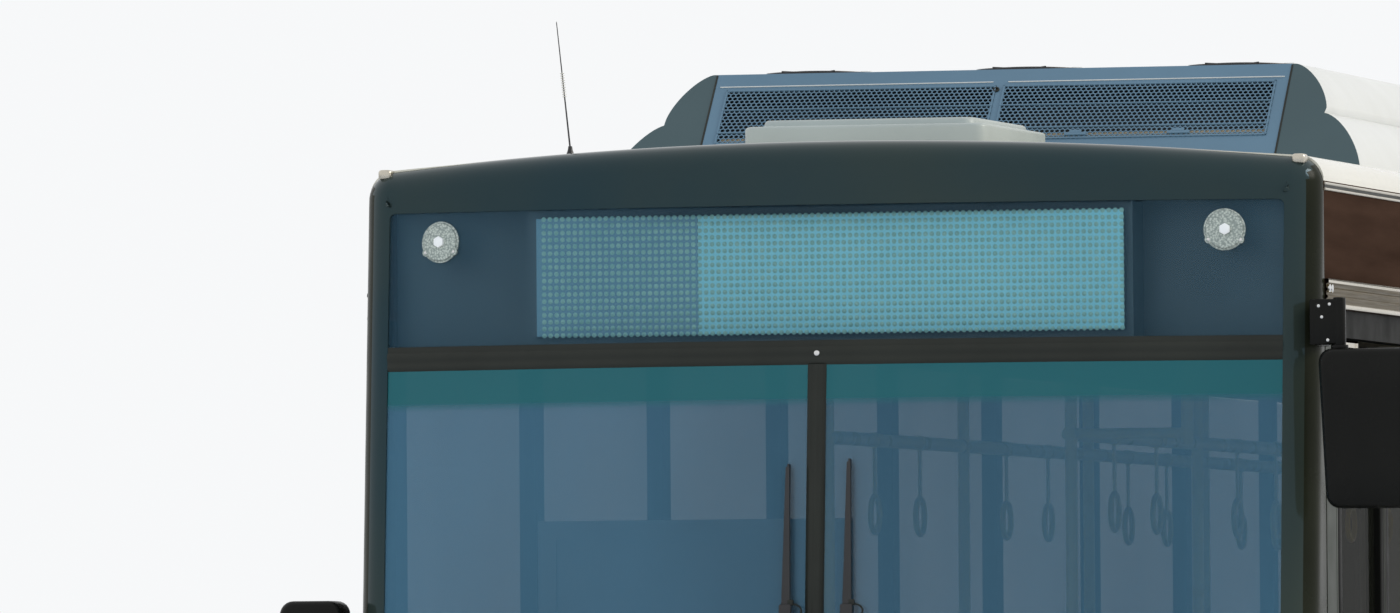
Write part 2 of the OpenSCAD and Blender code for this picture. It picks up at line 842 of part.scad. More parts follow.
// Each mirror's head hangs on a tube from its bracket, or sits on the bracket where that is lower
module mirrors() {
    head_x = half_w + 25;
    head_h = 400;
    head_y = front_y + 200;
    head_t = 110;
    tube_x = half_w + 72;
    tube_y = head_y + 70;
    bracket_t = 30;
    bracket_h = 115;
    plate_t = 14;
    color(trim_black) for (m = mirror_list) side(m[0]) {
        head_top = m[2] + head_h;
        bracket_top = m[3] + bracket_h;
        span([head_x, head_y, m[2]], [head_x + m[1], head_y + head_t, head_top]);
        if (bracket_top > head_top) z_bar(tube_x, tube_y, head_top - 10, bracket_top + 5, hand_r);
        span([half_w, tube_y - bracket_t / 2, m[3]], [tube_x, tube_y + bracket_t / 2, bracket_top]);
        span([half_w, tube_y - bracket_t / 2, m[3]], [half_w + plate_t, mask_back_y - 5, bracket_top]);
    }
}

unit_foot_y = front_y + unit_y;
unit_end_y = unit_foot_y + unit_l;
unit_rise = unit_z - roof_z;
face_angle = atan(unit_slope / unit_rise);
face_len = unit_rise / cos(face_angle);
grille_w = 745;
grille_x = 10;
grille_top = 62;
grille_h = 205;
hollow_in = 8;

// Places the children on one half of the unit's front face, foot edge at the origin, -Y outwards
module on_face(s) {
    side(s) translate([0, unit_foot_y, roof_z]) rotate([-face_angle, 0, 0]) children();
}

// Cross-section of the unit: a flared foot, a waist and a rounded shoulder
module unit_section() {
    flare = 190;
    waist = 78;
    waist_z = roof_z + 145;
    shoulder_r = 70;
    foot_z = roof_side_z - 10;
    edge_t = 6;
    lap = 20;
    n = 12;
    foot_x = unit_w / 2 + flare;
    waist_x = unit_w / 2 + waist;
    difference() {
        union() {
            polygon([[-foot_x, foot_z], [-foot_x, roof_z - edge_t], [-waist_x, waist_z],
                     [-waist_x, waist_z + lap], [waist_x, waist_z + lap], [waist_x, waist_z],
                     [foot_x, roof_z - edge_t], [foot_x, foot_z]]);
            translate([-waist_x, waist_z + lap / 2])
                square([2 * waist_x, unit_z - shoulder_r - waist_z - lap / 2]);
            translate([-waist_x + shoulder_r, waist_z])
                square([2 * (waist_x - shoulder_r), unit_z - waist_z]);
            for (s = [-1, 1]) translate([s * (waist_x - shoulder_r - 0.5), unit_z - shoulder_r - 0.5])
                circle(r = shoulder_r);
        }
        // The foot follows the roof's crown
        polygon(concat([for (i = [-n:n]) let (x = i * (foot_x + 1) / n) [x, roof_top(x) + 2 * fit]],
            [[foot_x + 1, foot_z - 50], [-foot_x - 1, foot_z - 50]]));
    }
}

module roof_unit() {
    low = roof_side_z - 60;
    color([0.55, 0.62, 0.66]) difference() {
        intersection() {
            rotate([90, 0, 90]) translate([0, 0, -half_w]) linear_extrude(body_w)
                polygon([[unit_foot_y - 40, low], [unit_foot_y, roof_z], [unit_foot_y + unit_slope, unit_z],
                         [unit_foot_y + unit_slope, unit_z + 1], [unit_end_y - unit_slope, unit_z + 1],
                         [unit_end_y - unit_slope, unit_z], [unit_end_y, roof_z], [unit_end_y + 40, low]]);
            translate([0, unit_end_y + 60, 0]) rotate([90, 0, 0]) linear_extrude(unit_l + 120) unit_section();
        }
        for (s = [-1, 1]) on_face(s)
            span([grille_x + hollow_in, -1, face_len - grille_top - grille_h + hollow_in],
                 [grille_x + grille_w - hollow_in, 70, face_len - grille_top - hollow_in]);
    }
}

// Perforated grilles on the unit's front face
module unit_grilles() {
    grille_t = 3;
    color(trim_black) for (s = [-1, 1]) on_face(s)
        span([grille_x, -grille_t, face_len - grille_top - grille_h],
             [grille_x + grille_w, 0, face_len - grille_top]);
}

module unit_fans() {
    fan_y = unit_foot_y + 558;
    fan_h = 20;
    color(trim_black) for (i = [-1:1])
        z_bar(i * fan_pitch, fan_y, unit_z, unit_z + fan_h, fan_r);
}

lid_top_z = 1250;
lid_low_z = 480;
lid_side = 350;
lid_t = 60;
window_side = 250;
window_low_z = 1500;
window_high_z = 2480;

module rear_body() {
    lid_x = half_w - lid_side;
    window_x = half_w - window_side;
    color(paint_cream) difference() {
        union() {
            span([-half_w, rear_wall_y, lid_low_z], [half_w, rear_y, cove_z + 0.5]);
            translate([0, rear_y, 0]) rotate([90, 0, 0]) linear_extrude(rear_wall_t)
                crowned(roof_z, roof_crown, cove_r);
        }
        span([-window_x, rear_wall_y - 1, window_low_z], [window_x, rear_y + 1, window_high_z]);
        span([-lid_x, rear_wall_y - 1, lid_low_z - 1], [lid_x, rear_y + 1, lid_top_z]);
        lamp_discs(fit);
    }
}

module rear_window() {
    window_x = half_w - window_side;
    color(tinted) span([-window_x, rear_y - pane_in - pane_t, window_low_z],
                       [window_x, rear_y - pane_in, window_high_z]);
}

module engine_lid() {
    gap = 6;
    lid_x = half_w - lid_side - gap;
    color(paint_cream)
        span([-lid_x, rear_y - lid_t, lid_low_z + gap], [lid_x, rear_y - pane_in, lid_top_z - fit]);
}

// The rear lamps, or the pockets that hold them with a gap all round
module lamp_discs(gap) {
    disc_t = 14;
    disc_r = 55;
    disc_side = 170;
    for (s = [-1, 1], z = [620, 760, 900]) side(s)
        y_bar(half_w - disc_side, rear_y - disc_t - gap, rear_y, z, disc_r + gap);
}

module tail_lamps() {
    color([0.6, 0.1, 0.08]) lamp_discs(0);
}

rear_tow_x = 600;
rear_tow_z = 380;

module rear_bumper() {
    color(paint_black) difference() {
        span([-half_w, rear_wall_y, skirt_z], [half_w, rear_y, lid_low_z - fit]);
        y_bar(rear_tow_x, rear_wall_y - 20, rear_y + 20, rear_tow_z, tow_r);
    }
}

// Gliding doors. Each doorway has two turning posts, and a leaf hangs by its middle on its post's two arms.
arm_l = door_w / 4;
leaf_in = 5;
leaf_mid_x = half_w - leaf_in - leaf_t / 2;
arm_t = 12;
arm_zs = [floor_z + 6, door_top_z - 24];
pin_r = 8;

// Turning post at y, with its arms towards +Y (d = 1) or -Y (d = -1)
module door_post(y, d) {
    arm_w = 28;
    color(bare_metal) {
        z_bar(leaf_mid_x, y, floor_z + fit, door_top_z - 6, post_r);
        for (z = arm_zs) difference() {
            union() {
                span([leaf_mid_x - arm_w / 2, min(y, y + d * arm_l), z],
                     [leaf_mid_x + arm_w / 2, max(y, y + d * arm_l), z + arm_t]);
                z_bar(leaf_mid_x, y + d * arm_l, z, z + arm_t, 18);
            }
            z_bar(leaf_mid_x, y + d * arm_l, z - 1, z + arm_t + 1, pin_r + run_gap);
        }
    }
}

module door_leaf(y, d) {
    arm_gap = 6;
    stile = 50;
    glass = 8;
    lap = 0.5;
    meet = 3;
    mid = y + d * arm_l;
    near = y + d * post_gap;
    far = y + d * (2 * arm_l - meet);
    y0 = min(near, far);
    y1 = max(near, far);
    z0 = arm_zs[0] + arm_t + arm_gap;
    z1 = arm_zs[1] - arm_gap;
    x0 = leaf_mid_x - leaf_t / 2;
    color(trim_black) {
        difference() {
            span([x0, y0, z0], [x0 + leaf_t, y1, z1]);
            span([0, y0 + stile, z0 + stile], [half_w, y1 - stile, z1 - stile]);
        }
        z_bar(leaf_mid_x, mid, arm_zs[0] + 1, z0 + 1, pin_r);
        z_bar(leaf_mid_x, mid, z1 - 1, arm_zs[1] + arm_t, pin_r);
    }
    color(tinted) span([leaf_mid_x - glass / 2, y0 + stile - lap, z0 + stile - lap],
                       [leaf_mid_x + glass / 2, y1 - stile + lap, z1 - stile + lap]);
}

// Seats. A row needs this much room behind its front edge.
row_depth = 540;
shell_t = 25;
seat_d = 440;
seat_x = in_x - 40 - seat_w / 2;
back_lean = 8;
back_in = 6;
low_seat_y = front_axle_y + arch_r + 200;
mid_seat_y = door_c_end + 300;
high_seat_y = rear_axle_y + arch_r + 80;

// Number of rows between two places at a pitch
function rows(y0, y1, pitch) = floor((y1 - y0 - row_depth) / pitch) + 1;

// Double seats, as [side, y of the front edge, floor height]
seat_list = concat(
    [for (i = [0:rows(low_seat_y, step_y, low_pitch) - 1]) [-1, low_seat_y + i * low_pitch, floor_z]],
    [[1, low_seat_y, floor_z]],
    [for (i = [0:rows(mid_seat_y, step_y, low_pitch) - 1]) [1, mid_seat_y + i * low_pitch, floor_z]],
    [for (i = [0:rows(high_seat_y, rear_wall_y, high_pitch) - 1], s = [-1, 1])
        [s, high_seat_y + i * high_pitch, rear_floor_z]]);

driver_x = half_w - 610;
driver_y = front_y + 1150;
driver_w = 440;

// Children placed on a seat back's front side, with Z up along the back
module on_back() {
    translate([0, seat_d - shell_t - back_in, seat_h]) rotate([-back_lean, 0, 0]) children();
}

// Pedestal, seat tray and leaning back of a seat that looks towards -Y
module seat_shell(w) {
    foot_w = 120;
    span([-w / 2, 0, seat_h - shell_t], [w / 2, seat_d, seat_h]);
    on_back() span([back_in - w / 2, 0, -5], [w / 2 - back_in, shell_t, back_h]);
    span([-foot_w / 2, foot_w, 0], [foot_w / 2, foot_w + 180, seat_h - shell_t + 1]);
}

// Cushion and back pad of one place
module seat_pad(w) {
    pad_t = 45;
    edge = 15;
    span([-w / 2, 5, seat_h + fit], [w / 2, seat_d - shell_t - pad_t - 25, seat_h + fit + pad_t]);
    on_back() span([-w / 2, -fit - pad_t, pad_t + edge], [w / 2, -fit, back_h - edge]);
}

module seat_shells() {
    color(floor_grey) {
        for (p = seat_list) translate([p[0] * seat_x, p[1], p[2]]) seat_shell(seat_w);
        translate([-driver_x, driver_y, floor_z]) seat_shell(driver_w);
    }
}

module seat_pads() {
    color([0.15, 0.25, 0.45]) {
        for (p = seat_list, k = [-1, 1])
            translate([p[0] * seat_x + k * seat_w / 4, p[1], p[2]]) seat_pad(seat_w / 2 - 20);
        translate([-driver_x, driver_y, floor_z]) seat_pad(driver_w - 20);
    }
}

// Stanchions and a ceiling rail stand along each side of the aisle
rail_x = seat_x - seat_w / 2 - hand_r - 6;
rail_y0 = front_y + 1550;
rail_y1 = step_y - 200;
stanchion_n = 5;

rail_r = hand_r + 2;
rail_end = 30;

// A hand grip on a short strap, hanging from a rail along Y
module grip(y) {
    strap_w = 26;
    strap_t = 6;
    strap_h = 150;
    ring_r = 48;
    ring_t = 8;
    translate([0, y, hand_z]) {
        y_bar(0, -strap_w / 2, strap_w / 2, 0, rail_r + 3);
        span([-strap_t / 2, 3 - strap_w / 2, -strap_h - ring_t / 2], [strap_t / 2, strap_w / 2 - 3, -hand_r]);
        translate([0, 0, -strap_h - ring_r]) rotate([0, 90, 0])
            rotate_extrude($fn = 48) translate([ring_r, 0]) circle(r = ring_t, $fn = 24);
    }
}

module handrails() {
    cross_x = 640;
    pitch = (rail_y1 - rail_y0) / (stanchion_n - 1);
    color(bare_metal) for (s = [-1, 1]) side(s) {
        for (i = [0:stanchion_n - 1])
            z_bar(rail_x, rail_y0 + i * pitch, floor_z, roof_under(rail_x + hand_r) - fit, hand_r);
        y_bar(rail_x, rail_y0 - rail_end, rail_y1 + rail_end, hand_z, rail_r);
        if (s > 0) {
            x_bar(rail_x, cross_x, rail_y0, hand_z, hand_r - 2);
            z_bar(cross_x, rail_y0, hand_z - rail_end, roof_under(cross_x + hand_r) - fit, hand_r);
        }
        for (i = [0:stanchion_n - 2], k = [1, 2])
            translate([rail_x, 0, 0]) grip(rail_y0 + i * pitch + k * pitch / 3);
    }
}

// Desk with its binnacle, steering column and wheel on the driver's side
module driver_desk() {
    desk_y = mask_back_y + 5;
    desk_x0 = in_x - 45;
    desk_x1 = 150;
    wheel_r = 215;
    grip_r = 15;
    wheel_y = driver_y - 230;
    wheel_z = floor_z + 720;
    tilt = 32;
    color([0.2, 0.22, 0.24]) {
        translate([-desk_x0, 0, 0]) rotate([90, 0, 90]) linear_extrude(desk_x0 - desk_x1)
            polygon([[desk_y, floor_z], [desk_y, 1000], [desk_y + 60, 1040], [desk_y + 220, 1040],
                     [desk_y + 300, 940], [desk_y + 260, 700], [desk_y + 80, 640], [desk_y + 80, floor_z]]);
        translate([-driver_x, wheel_y, wheel_z]) rotate([-tilt, 0, 0]) {
            rotate_extrude() translate([wheel_r, 0]) circle(r = grip_r, $fn = 32);
            cylinder(r = 45, h = 30, center = true);
            for (a = [0, 120, 240]) rotate([0, 0, a + 90])
                span([0, -14, -6], [wheel_r, 14, 6]);
            z_bar(0, 0, -520, 0, 28);
        }
    }
}

// Low wall and screen behind the driver's seat
module cab_partition() {
    wall = 30;
    y = driver_y + 640;
    top = 2100;
    window_z = 1250;
    edge = 50;
    inner = 330;
    color(floor_grey) difference() {
        span([-in_x + fit, y, floor_z], [-inner, y + wall, top]);
        span([-in_x + edge, y - 1, window_z], [-inner - edge, y + wall + 1, top - edge]);
    }
    color(tinted) span([-in_x + edge - 0.5, y + wall / 2 - 3, window_z - 0.5],
                       [-inner - edge + 0.5, y + wall / 2 + 3, top - edge + 0.5]);
}

chassis_beams();
low_floor();
rear_floor();
wheel_boxes();
engine_block();
front_axle();
rear_axle();
skirt_panels();
arch_panels();
window_pillars();
side_windows();
cantrail_panels();
side_rails();
roof();
front_mask();
sign_glass();
sign_board();
windscreen();
screen_bars();
front_panel();
front_bumper();
headlamps();
marker_lamps();
wipers();
antenna();
mirrors();
roof_unit();
unit_grilles();
unit_fans();
rear_body();
rear_window();
tail_lamps();
rear_bumper();
engine_lid();
hatch(front_hatch_y);  // front_hatch
hatch(rear_hatch_y);  // rear_hatch
knuckle(1);  // knuckle_left
knuckle(-1);  // knuckle_right
tie_rod();
front_rim(1);  // front_rim_left
front_tyre(1);  // front_tyre_left
front_rim(-1);  // front_rim_right
front_tyre(-1);  // front_tyre_right
rear_rims(1);  // rear_rims_left
rear_tyres(1);  // rear_tyres_left
rear_rims(-1);  // rear_rims_right
rear_tyres(-1);  // rear_tyres_right
door_post(door_a_y, 1);  // door_post_a
door_leaf(door_a_y, 1);  // door_leaf_a
door_post(door_a_end, -1);  // door_post_b
door_leaf(door_a_end, -1);  // door_leaf_b
door_post(door_c_y, 1);  // door_post_c
door_leaf(door_c_y, 1);  // door_leaf_c
door_post(door_c_end, -1);  // door_post_d
door_leaf(door_c_end, -1);  // door_leaf_d
seat_shells();
seat_pads();
handrails();
driver_desk();
cab_partition();
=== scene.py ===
import math

import bpy
from mathutils import Matrix, Vector
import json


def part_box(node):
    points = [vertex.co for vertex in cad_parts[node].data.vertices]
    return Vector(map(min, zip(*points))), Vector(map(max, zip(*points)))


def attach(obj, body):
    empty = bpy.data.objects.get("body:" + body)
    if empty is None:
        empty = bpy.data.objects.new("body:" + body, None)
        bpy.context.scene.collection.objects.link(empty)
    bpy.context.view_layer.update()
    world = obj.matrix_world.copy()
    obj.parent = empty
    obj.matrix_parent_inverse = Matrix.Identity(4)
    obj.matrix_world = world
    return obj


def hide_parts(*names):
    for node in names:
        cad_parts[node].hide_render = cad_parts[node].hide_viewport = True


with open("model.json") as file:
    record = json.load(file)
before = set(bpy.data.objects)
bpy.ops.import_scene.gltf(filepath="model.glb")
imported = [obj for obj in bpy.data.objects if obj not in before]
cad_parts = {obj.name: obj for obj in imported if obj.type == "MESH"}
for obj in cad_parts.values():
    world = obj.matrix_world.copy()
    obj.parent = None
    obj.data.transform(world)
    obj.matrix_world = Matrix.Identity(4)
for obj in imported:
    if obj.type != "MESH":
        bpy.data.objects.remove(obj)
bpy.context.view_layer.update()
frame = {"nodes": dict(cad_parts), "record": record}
nodes = frame["nodes"]
record = frame["record"]
print("stage: frame loaded,", len(nodes), "nodes")


# Measures read from the frame

skirtLow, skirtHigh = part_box("skirt_panels")
barLow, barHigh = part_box("screen_bars")
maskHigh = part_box("front_mask")[1]
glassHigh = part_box("sign_glass")[1]
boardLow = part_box("sign_board")[0]

halfWidth = skirtHigh.x
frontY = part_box("front_bumper")[0].y
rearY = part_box("rear_body")[1].y
maskBackY = skirtLow.y

frontForm = {
    "bulge": 4.8,       # plan radius of the front
    "corner": 0.075,    # how deep the sides round off
    "topRoll": 0.085,   # how deep the top edge rolls over
    "lean": math.radians(4.5),
    "setBack": 0.040,   # screen foot behind the bumper
    "foot": 1.050,
    "crown": 0.052,     # drop of the top edge to the corners
    "cove": 0.075,      # radius of the upper corners, seen from the front
}


def shift(x, y, z):
    return Matrix.Translation((x, y, z))


def turned(axis, angle):
    return Matrix.Rotation(angle, 4, axis)


def planDepth(x):
    return frontForm["bulge"] - math.sqrt(frontForm["bulge"] ** 2 - x * x)


def frontDepth(x, z):
    lean = frontForm["lean"]
    atFoot = frontY + frontForm["setBack"] + planDepth(x) / math.cos(lean)
    return atFoot + (z - frontForm["foot"]) * math.tan(lean)


def frontNormal(x):
    lean = frontForm["lean"]
    side = x / frontForm["bulge"]
    ahead = math.sqrt(1 - side * side)
    return Vector((side, -ahead * math.cos(lean), ahead * math.sin(lean)))


def onFront(x, z, out=0.0):
    return Vector((x, frontDepth(x, z), z)) + frontNormal(x) * out


def frontPlace(x, z):
    # local -Y looks out of the leaning screen and local Z runs up it
    turn = turned("X", -frontForm["lean"]) @ turned("Z", math.asin(x / frontForm["bulge"]))
    return Matrix.Translation(onFront(x, z)) @ turn


def sideName(side):
    return "left" if side > 0 else "right"


# Small modelling helpers

def deselect():
    bpy.ops.object.select_all(action="DESELECT")


def pick(*pieces):
    deselect()
    for piece in pieces:
        piece.select_set(True)
    bpy.context.view_layer.objects.active = pieces[0]


def named(name):
    piece = bpy.context.object
    piece.name = piece.data.name = name
    return piece


def settle(piece):
    # place, turn and scale go into the mesh
    pick(piece)
    bpy.ops.object.transform_apply(location=True, rotation=True, scale=True)
    return piece


def moved(piece, matrix):
    piece.data.transform(matrix)
    return piece


def editAll(piece):
    # edit mode with the whole mesh selected
    pick(piece)
    bpy.ops.object.mode_set(mode="EDIT")
    bpy.ops.mesh.select_all(action="SELECT")


def stopEdit():
    bpy.ops.object.mode_set(mode="OBJECT")


def chooseParts(piece, mode, test):
    # marks the faces or edges that pass, then opens edit mode
    pick(piece)
    bpy.ops.object.mode_set(mode="EDIT")
    bpy.ops.mesh.select_mode(type=mode)
    bpy.ops.mesh.select_all(action="DESELECT")
    stopEdit()
    for part in piece.data.polygons if mode == "FACE" else piece.data.edges:
        part.select = bool(test(part))
    bpy.ops.object.mode_set(mode="EDIT")


def chooseFaces(piece, test):
    chooseParts(piece, "FACE", lambda face: test(face.center, face.normal))


def chooseEdges(piece, test):
    def passes(edge):
        a, b = (piece.data.vertices[i].co for i in edge.vertices)
        along = (b - a).normalized() if (b - a).length > 1e-9 else Vector()
        return test((a + b) / 2, along)

    chooseParts(piece, "EDGE", passes)


def box(name, low, high):
    deselect()
    low, high = Vector(low), Vector(high)
    bpy.ops.mesh.primitive_cube_add(size=1, location=(low + high) / 2)
    piece = named(name)
    piece.scale = high - low
    return settle(piece)


def rod(name, start, end, radius, sides=24):
    deselect()
    start, end = Vector(start), Vector(end)
    along = end - start
    bpy.ops.mesh.primitive_cylinder_add(vertices=sides, radius=radius, depth=along.length,
                                        location=(start + end) / 2,
                                        rotation=along.to_track_quat("Z", "Y").to_euler())
    return settle(named(name))


def disc(name, radius, sides):
    deselect()
    bpy.ops.mesh.primitive_circle_add(vertices=sides, radius=radius, fill_type="NGON")
    return named(name)


def torus(name, radius, wire, steps, sides, place=(0, 0, 0), turn=(0, 0, 0)):
    deselect()
    bpy.ops.mesh.primitive_torus_add(major_radius=radius, minor_radius=wire, major_segments=steps,
                                     minor_segments=sides, location=place, rotation=turn)
    return settle(named(name))


def modify(piece, kind, **settings):
    modifier = piece.modifiers.new(kind.title(), kind)
    for key, value in settings.items():
        setattr(modifier, key, value)
    pick(piece)
    bpy.ops.object.modifier_apply(modifier=modifier.name)
    return piece


def rounded(piece, width, steps=3, angle=30):
    return modify(piece, "BEVEL", width=width, segments=steps, limit_method="ANGLE",
                  angle_limit=math.radians(angle), use_clamp_overlap=True)


def thickened(piece, thick):
    return modify(piece, "SOLIDIFY", thickness=thick, offset=-1)


def arrayed(piece, count, offset, **more):
    return modify(piece, "ARRAY", count=count, use_relative_offset=False, use_constant_offset=True,
                  constant_offset_displace=offset, **more)


def cutBy(piece, tool):
    modify(piece, "BOOLEAN", operation="DIFFERENCE", object=tool, solver="EXACT")
    bpy.data.objects.remove(tool)
    return piece


def smooth(piece, angle=35):
    pick(piece)
    bpy.ops.object.shade_smooth_by_angle(angle=math.radians(angle))
    return piece


def join(name, pieces):
    pick(*pieces)
    if len(pieces) > 1:
        bpy.ops.object.join()
    return named(name)


def copyOf(piece, name, matrix):
    twin = piece.copy()
    twin.data = piece.data.copy()
    twin.name = twin.data.name = name
    bpy.context.scene.collection.objects.link(twin)
    return moved(twin, matrix)


def fixNormals(piece):
    editAll(piece)
    bpy.ops.mesh.remove_doubles(threshold=0.00005)
    bpy.ops.mesh.normals_make_consistent(inside=False)
    stopEdit()
    return piece


def turnFaces(piece):
    editAll(piece)
    bpy.ops.mesh.flip_normals()
    stopEdit()
    return piece


def faceForward(piece):
    # the faces of a front sheet look out towards -Y
    return turnFaces(piece) if piece.data.polygons[0].normal.y > 0 else piece


def acrossBus(piece):
    # the same mesh on the other side of the bus
    return turnFaces(moved(piece, Matrix.Scale(-1, 4, (1, 0, 0))))


def bothSides(piece):
    return join(piece.name, [piece, acrossBus(copyOf(piece, piece.name, Matrix.Identity(4)))])


def cornered(name, low, high, axis, radius, steps, test=None):
    # a box whose edges along one axis are rounded, or those of them that pass the test
    piece = box(name, low, high)
    chooseEdges(piece, lambda middle, along: abs(along[axis]) > 0.9 and (not test or test(middle)))
    bpy.ops.mesh.bevel(offset=radius, segments=steps)
    stopEdit()
    return piece


def spun(name, outline, axisPoint, axis, steps=48):
    # an outline of (distance along the axis, radius) pairs turned about that axis
    deselect()
    bpy.ops.mesh.primitive_circle_add(vertices=len(outline), radius=1, fill_type="NOTHING")
    piece = named(name)
    for vertex, (along, radius) in zip(piece.data.vertices, outline):
        vertex.co = (radius, 0, along)
    editAll(piece)
    bpy.ops.mesh.spin(steps=steps, angle=math.tau, center=(0, 0, 0), axis=(0, 0, 1))
    stopEdit()
    turn = Vector(axis).to_track_quat("Z", "Y").to_matrix().to_4x4()
    return moved(fixNormals(piece), Matrix.Translation(Vector(axisPoint)) @ turn)


def gridSheet(name, across, up, place):
    # a grid whose points follow place(u, v), both from 0 to 1
    deselect()
    bpy.ops.mesh.primitive_grid_add(x_subdivisions=across, y_subdivisions=up, size=1)
    piece = named(name)
    for vertex in piece.data.vertices:
        vertex.co = place(vertex.co.x + 0.5, vertex.co.y + 0.5)
    piece.data.update()
    return piece


def screwHead(place, radius, out):
    return moved(rounded(rod("screw", (0, 0, 0), (0, -out, 0), radius, 16), radius * 0.25, 2), place)


def dress(piece, finish, body="coach", slotName=None):
    piece.data.materials.clear()
    piece.data.materials.append(finishes[finish])
    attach(piece, body)
    return piece


def finished(name, pieces, finish, angle=35, place=Matrix.Identity(4), **more):
    return dress(smooth(moved(join(name, pieces), place), angle), finish, **more)


# Finishes

finishes = {}


def shaderOf(name):
    material = bpy.data.materials.new(name)
    material.use_nodes = True
    finishes[name] = material
    tree = material.node_tree
    coords = tree.nodes.new("ShaderNodeTexCoord")
    return tree, tree.nodes["Principled BSDF"], coords.outputs["Object"]


def feed(tree, value, socket):
    # a socket takes a link, a colour or a number
    if isinstance(value, bpy.types.NodeSocket):
        tree.links.new(value, socket)
    else:
        socket.default_value = (*value, 1) if isinstance(value, tuple) else value


def noise(tree, coords, scale, detail=4.0, stretch=None):
    texture = tree.nodes.new("ShaderNodeTexNoise")
    texture.inputs["Scale"].default_value = scale
    texture.inputs["Detail"].default_value = detail
    if stretch:
        mapping = tree.nodes.new("ShaderNodeMapping")
        mapping.inputs["Scale"].default_value = stretch
        tree.links.new(coords, mapping.inputs["Vector"])
        coords = mapping.outputs["Vector"]
    tree.links.new(coords, texture.inputs["Vector"])
    return texture.outputs["Fac"]


def cells(tree, coords, scale):
    texture = tree.nodes.new("ShaderNodeTexVoronoi")
    texture.inputs["Scale"].default_value = scale
    tree.links.new(coords, texture.inputs["Vector"])
    return texture.outputs["Distance"]


def ramp(tree, factor, stops):
    node = tree.nodes.new("ShaderNodeValToRGB")
    for element, (place, colour) in zip(node.color_ramp.elements, stops):
        element.position = place
        element.color = (*colour, 1)
    tree.links.new(factor, node.inputs["Fac"])
    return node.outputs["Color"]


def span(tree, value, low, high, fromLow=0.3, fromHigh=0.7):
    node = tree.nodes.new("ShaderNodeMapRange")
    ends = {"From Min": fromLow, "From Max": fromHigh, "To Min": low, "To Max": high}
    for socket, number in ends.items():
        node.inputs[socket].default_value = number
    tree.links.new(value, node.inputs["Value"])
    return node.outputs["Result"]


def heightOf(tree, coords):
    split = tree.nodes.new("ShaderNodeSeparateXYZ")
    tree.links.new(coords, split.inputs["Vector"])
    return split.outputs["Z"]


def worked(tree, kind, first, second):
    node = tree.nodes.new("ShaderNodeMath")
    node.operation = kind
    tree.links.new(first, node.inputs[0])
    tree.links.new(second, node.inputs[1])
    return node.outputs["Value"]


def blended(tree, factor, first, second, kind="MIX"):
    node = tree.nodes.new("ShaderNodeMix")
    node.data_type = "RGBA"
    node.blend_type = kind
    for value, socket in ((factor, "Factor"), (first, "A"), (second, "B")):
        feed(tree, value, node.inputs[socket])
    return node.outputs["Result"]


def bump(tree, shader, height, strength, depth):
    node = tree.nodes.new("ShaderNodeBump")
    node.inputs["Strength"].default_value = strength
    node.inputs["Distance"].default_value = depth
    tree.links.new(height, node.inputs["Height"])
    tree.links.new(node.outputs["Normal"], shader.inputs["Normal"])


def shade(colour, share):
    return tuple(min(1.0, c * share) for c in colour)


def surface(tree, shader, tone, rough, **uniform):
    # colour and roughness come from textures, the rest is one value all over
    tree.links.new(tone, shader.inputs["Base Color"])
    tree.links.new(rough, shader.inputs["Roughness"])
    for socket, value in uniform.items():
        feed(tree, value, shader.inputs[socket.replace("_", " ")])


def plainFinish(name, look):
    # colour that drifts a little, roughness that varies and a fine grain
    tree, shader, coords = shaderOf(name)
    colour, rough, stretch = look["colour"], look["rough"], look.get("stretch")
    drift, swing = look.get("drift", 0.10), look.get("roughSwing", 0.06)
    cloud = noise(tree, coords, look.get("cloud", 3.0), 6, stretch)
    second = look.get("second", colour)
    tone = ramp(tree, cloud, [(0.30, shade(colour, 1 - drift)), (0.70, shade(second, 1 + drift))])
    if "grime" in look:
        # road film that thins out with height
        low, high, dirt = look["grime"]
        film = span(tree, heightOf(tree, coords), 0.85, 0.0, low, high)
        patch = span(tree, noise(tree, coords, 7.0, 8), 0.35, 1.0)
        tone = blended(tree, worked(tree, "MULTIPLY", film, patch), tone, dirt)
    patches = span(tree, noise(tree, coords, 9.0, 5, stretch), max(0.0, rough - swing), rough + swing)
    surface(tree, shader, tone, patches, Metallic=look.get("metal", 0.0), Coat_Weight=look.get("coat", 0.0),
            Coat_Roughness=0.05, Specular_IOR_Level=look.get("gloss", 0.5),
            Specular_Tint=look.get("tint", (1.0, 1.0, 1.0)))
    grain = noise(tree, coords, look.get("grain", 250.0), 3, stretch)
    bump(tree, shader, grain, look.get("grainPower", 0.15), 0.0004)


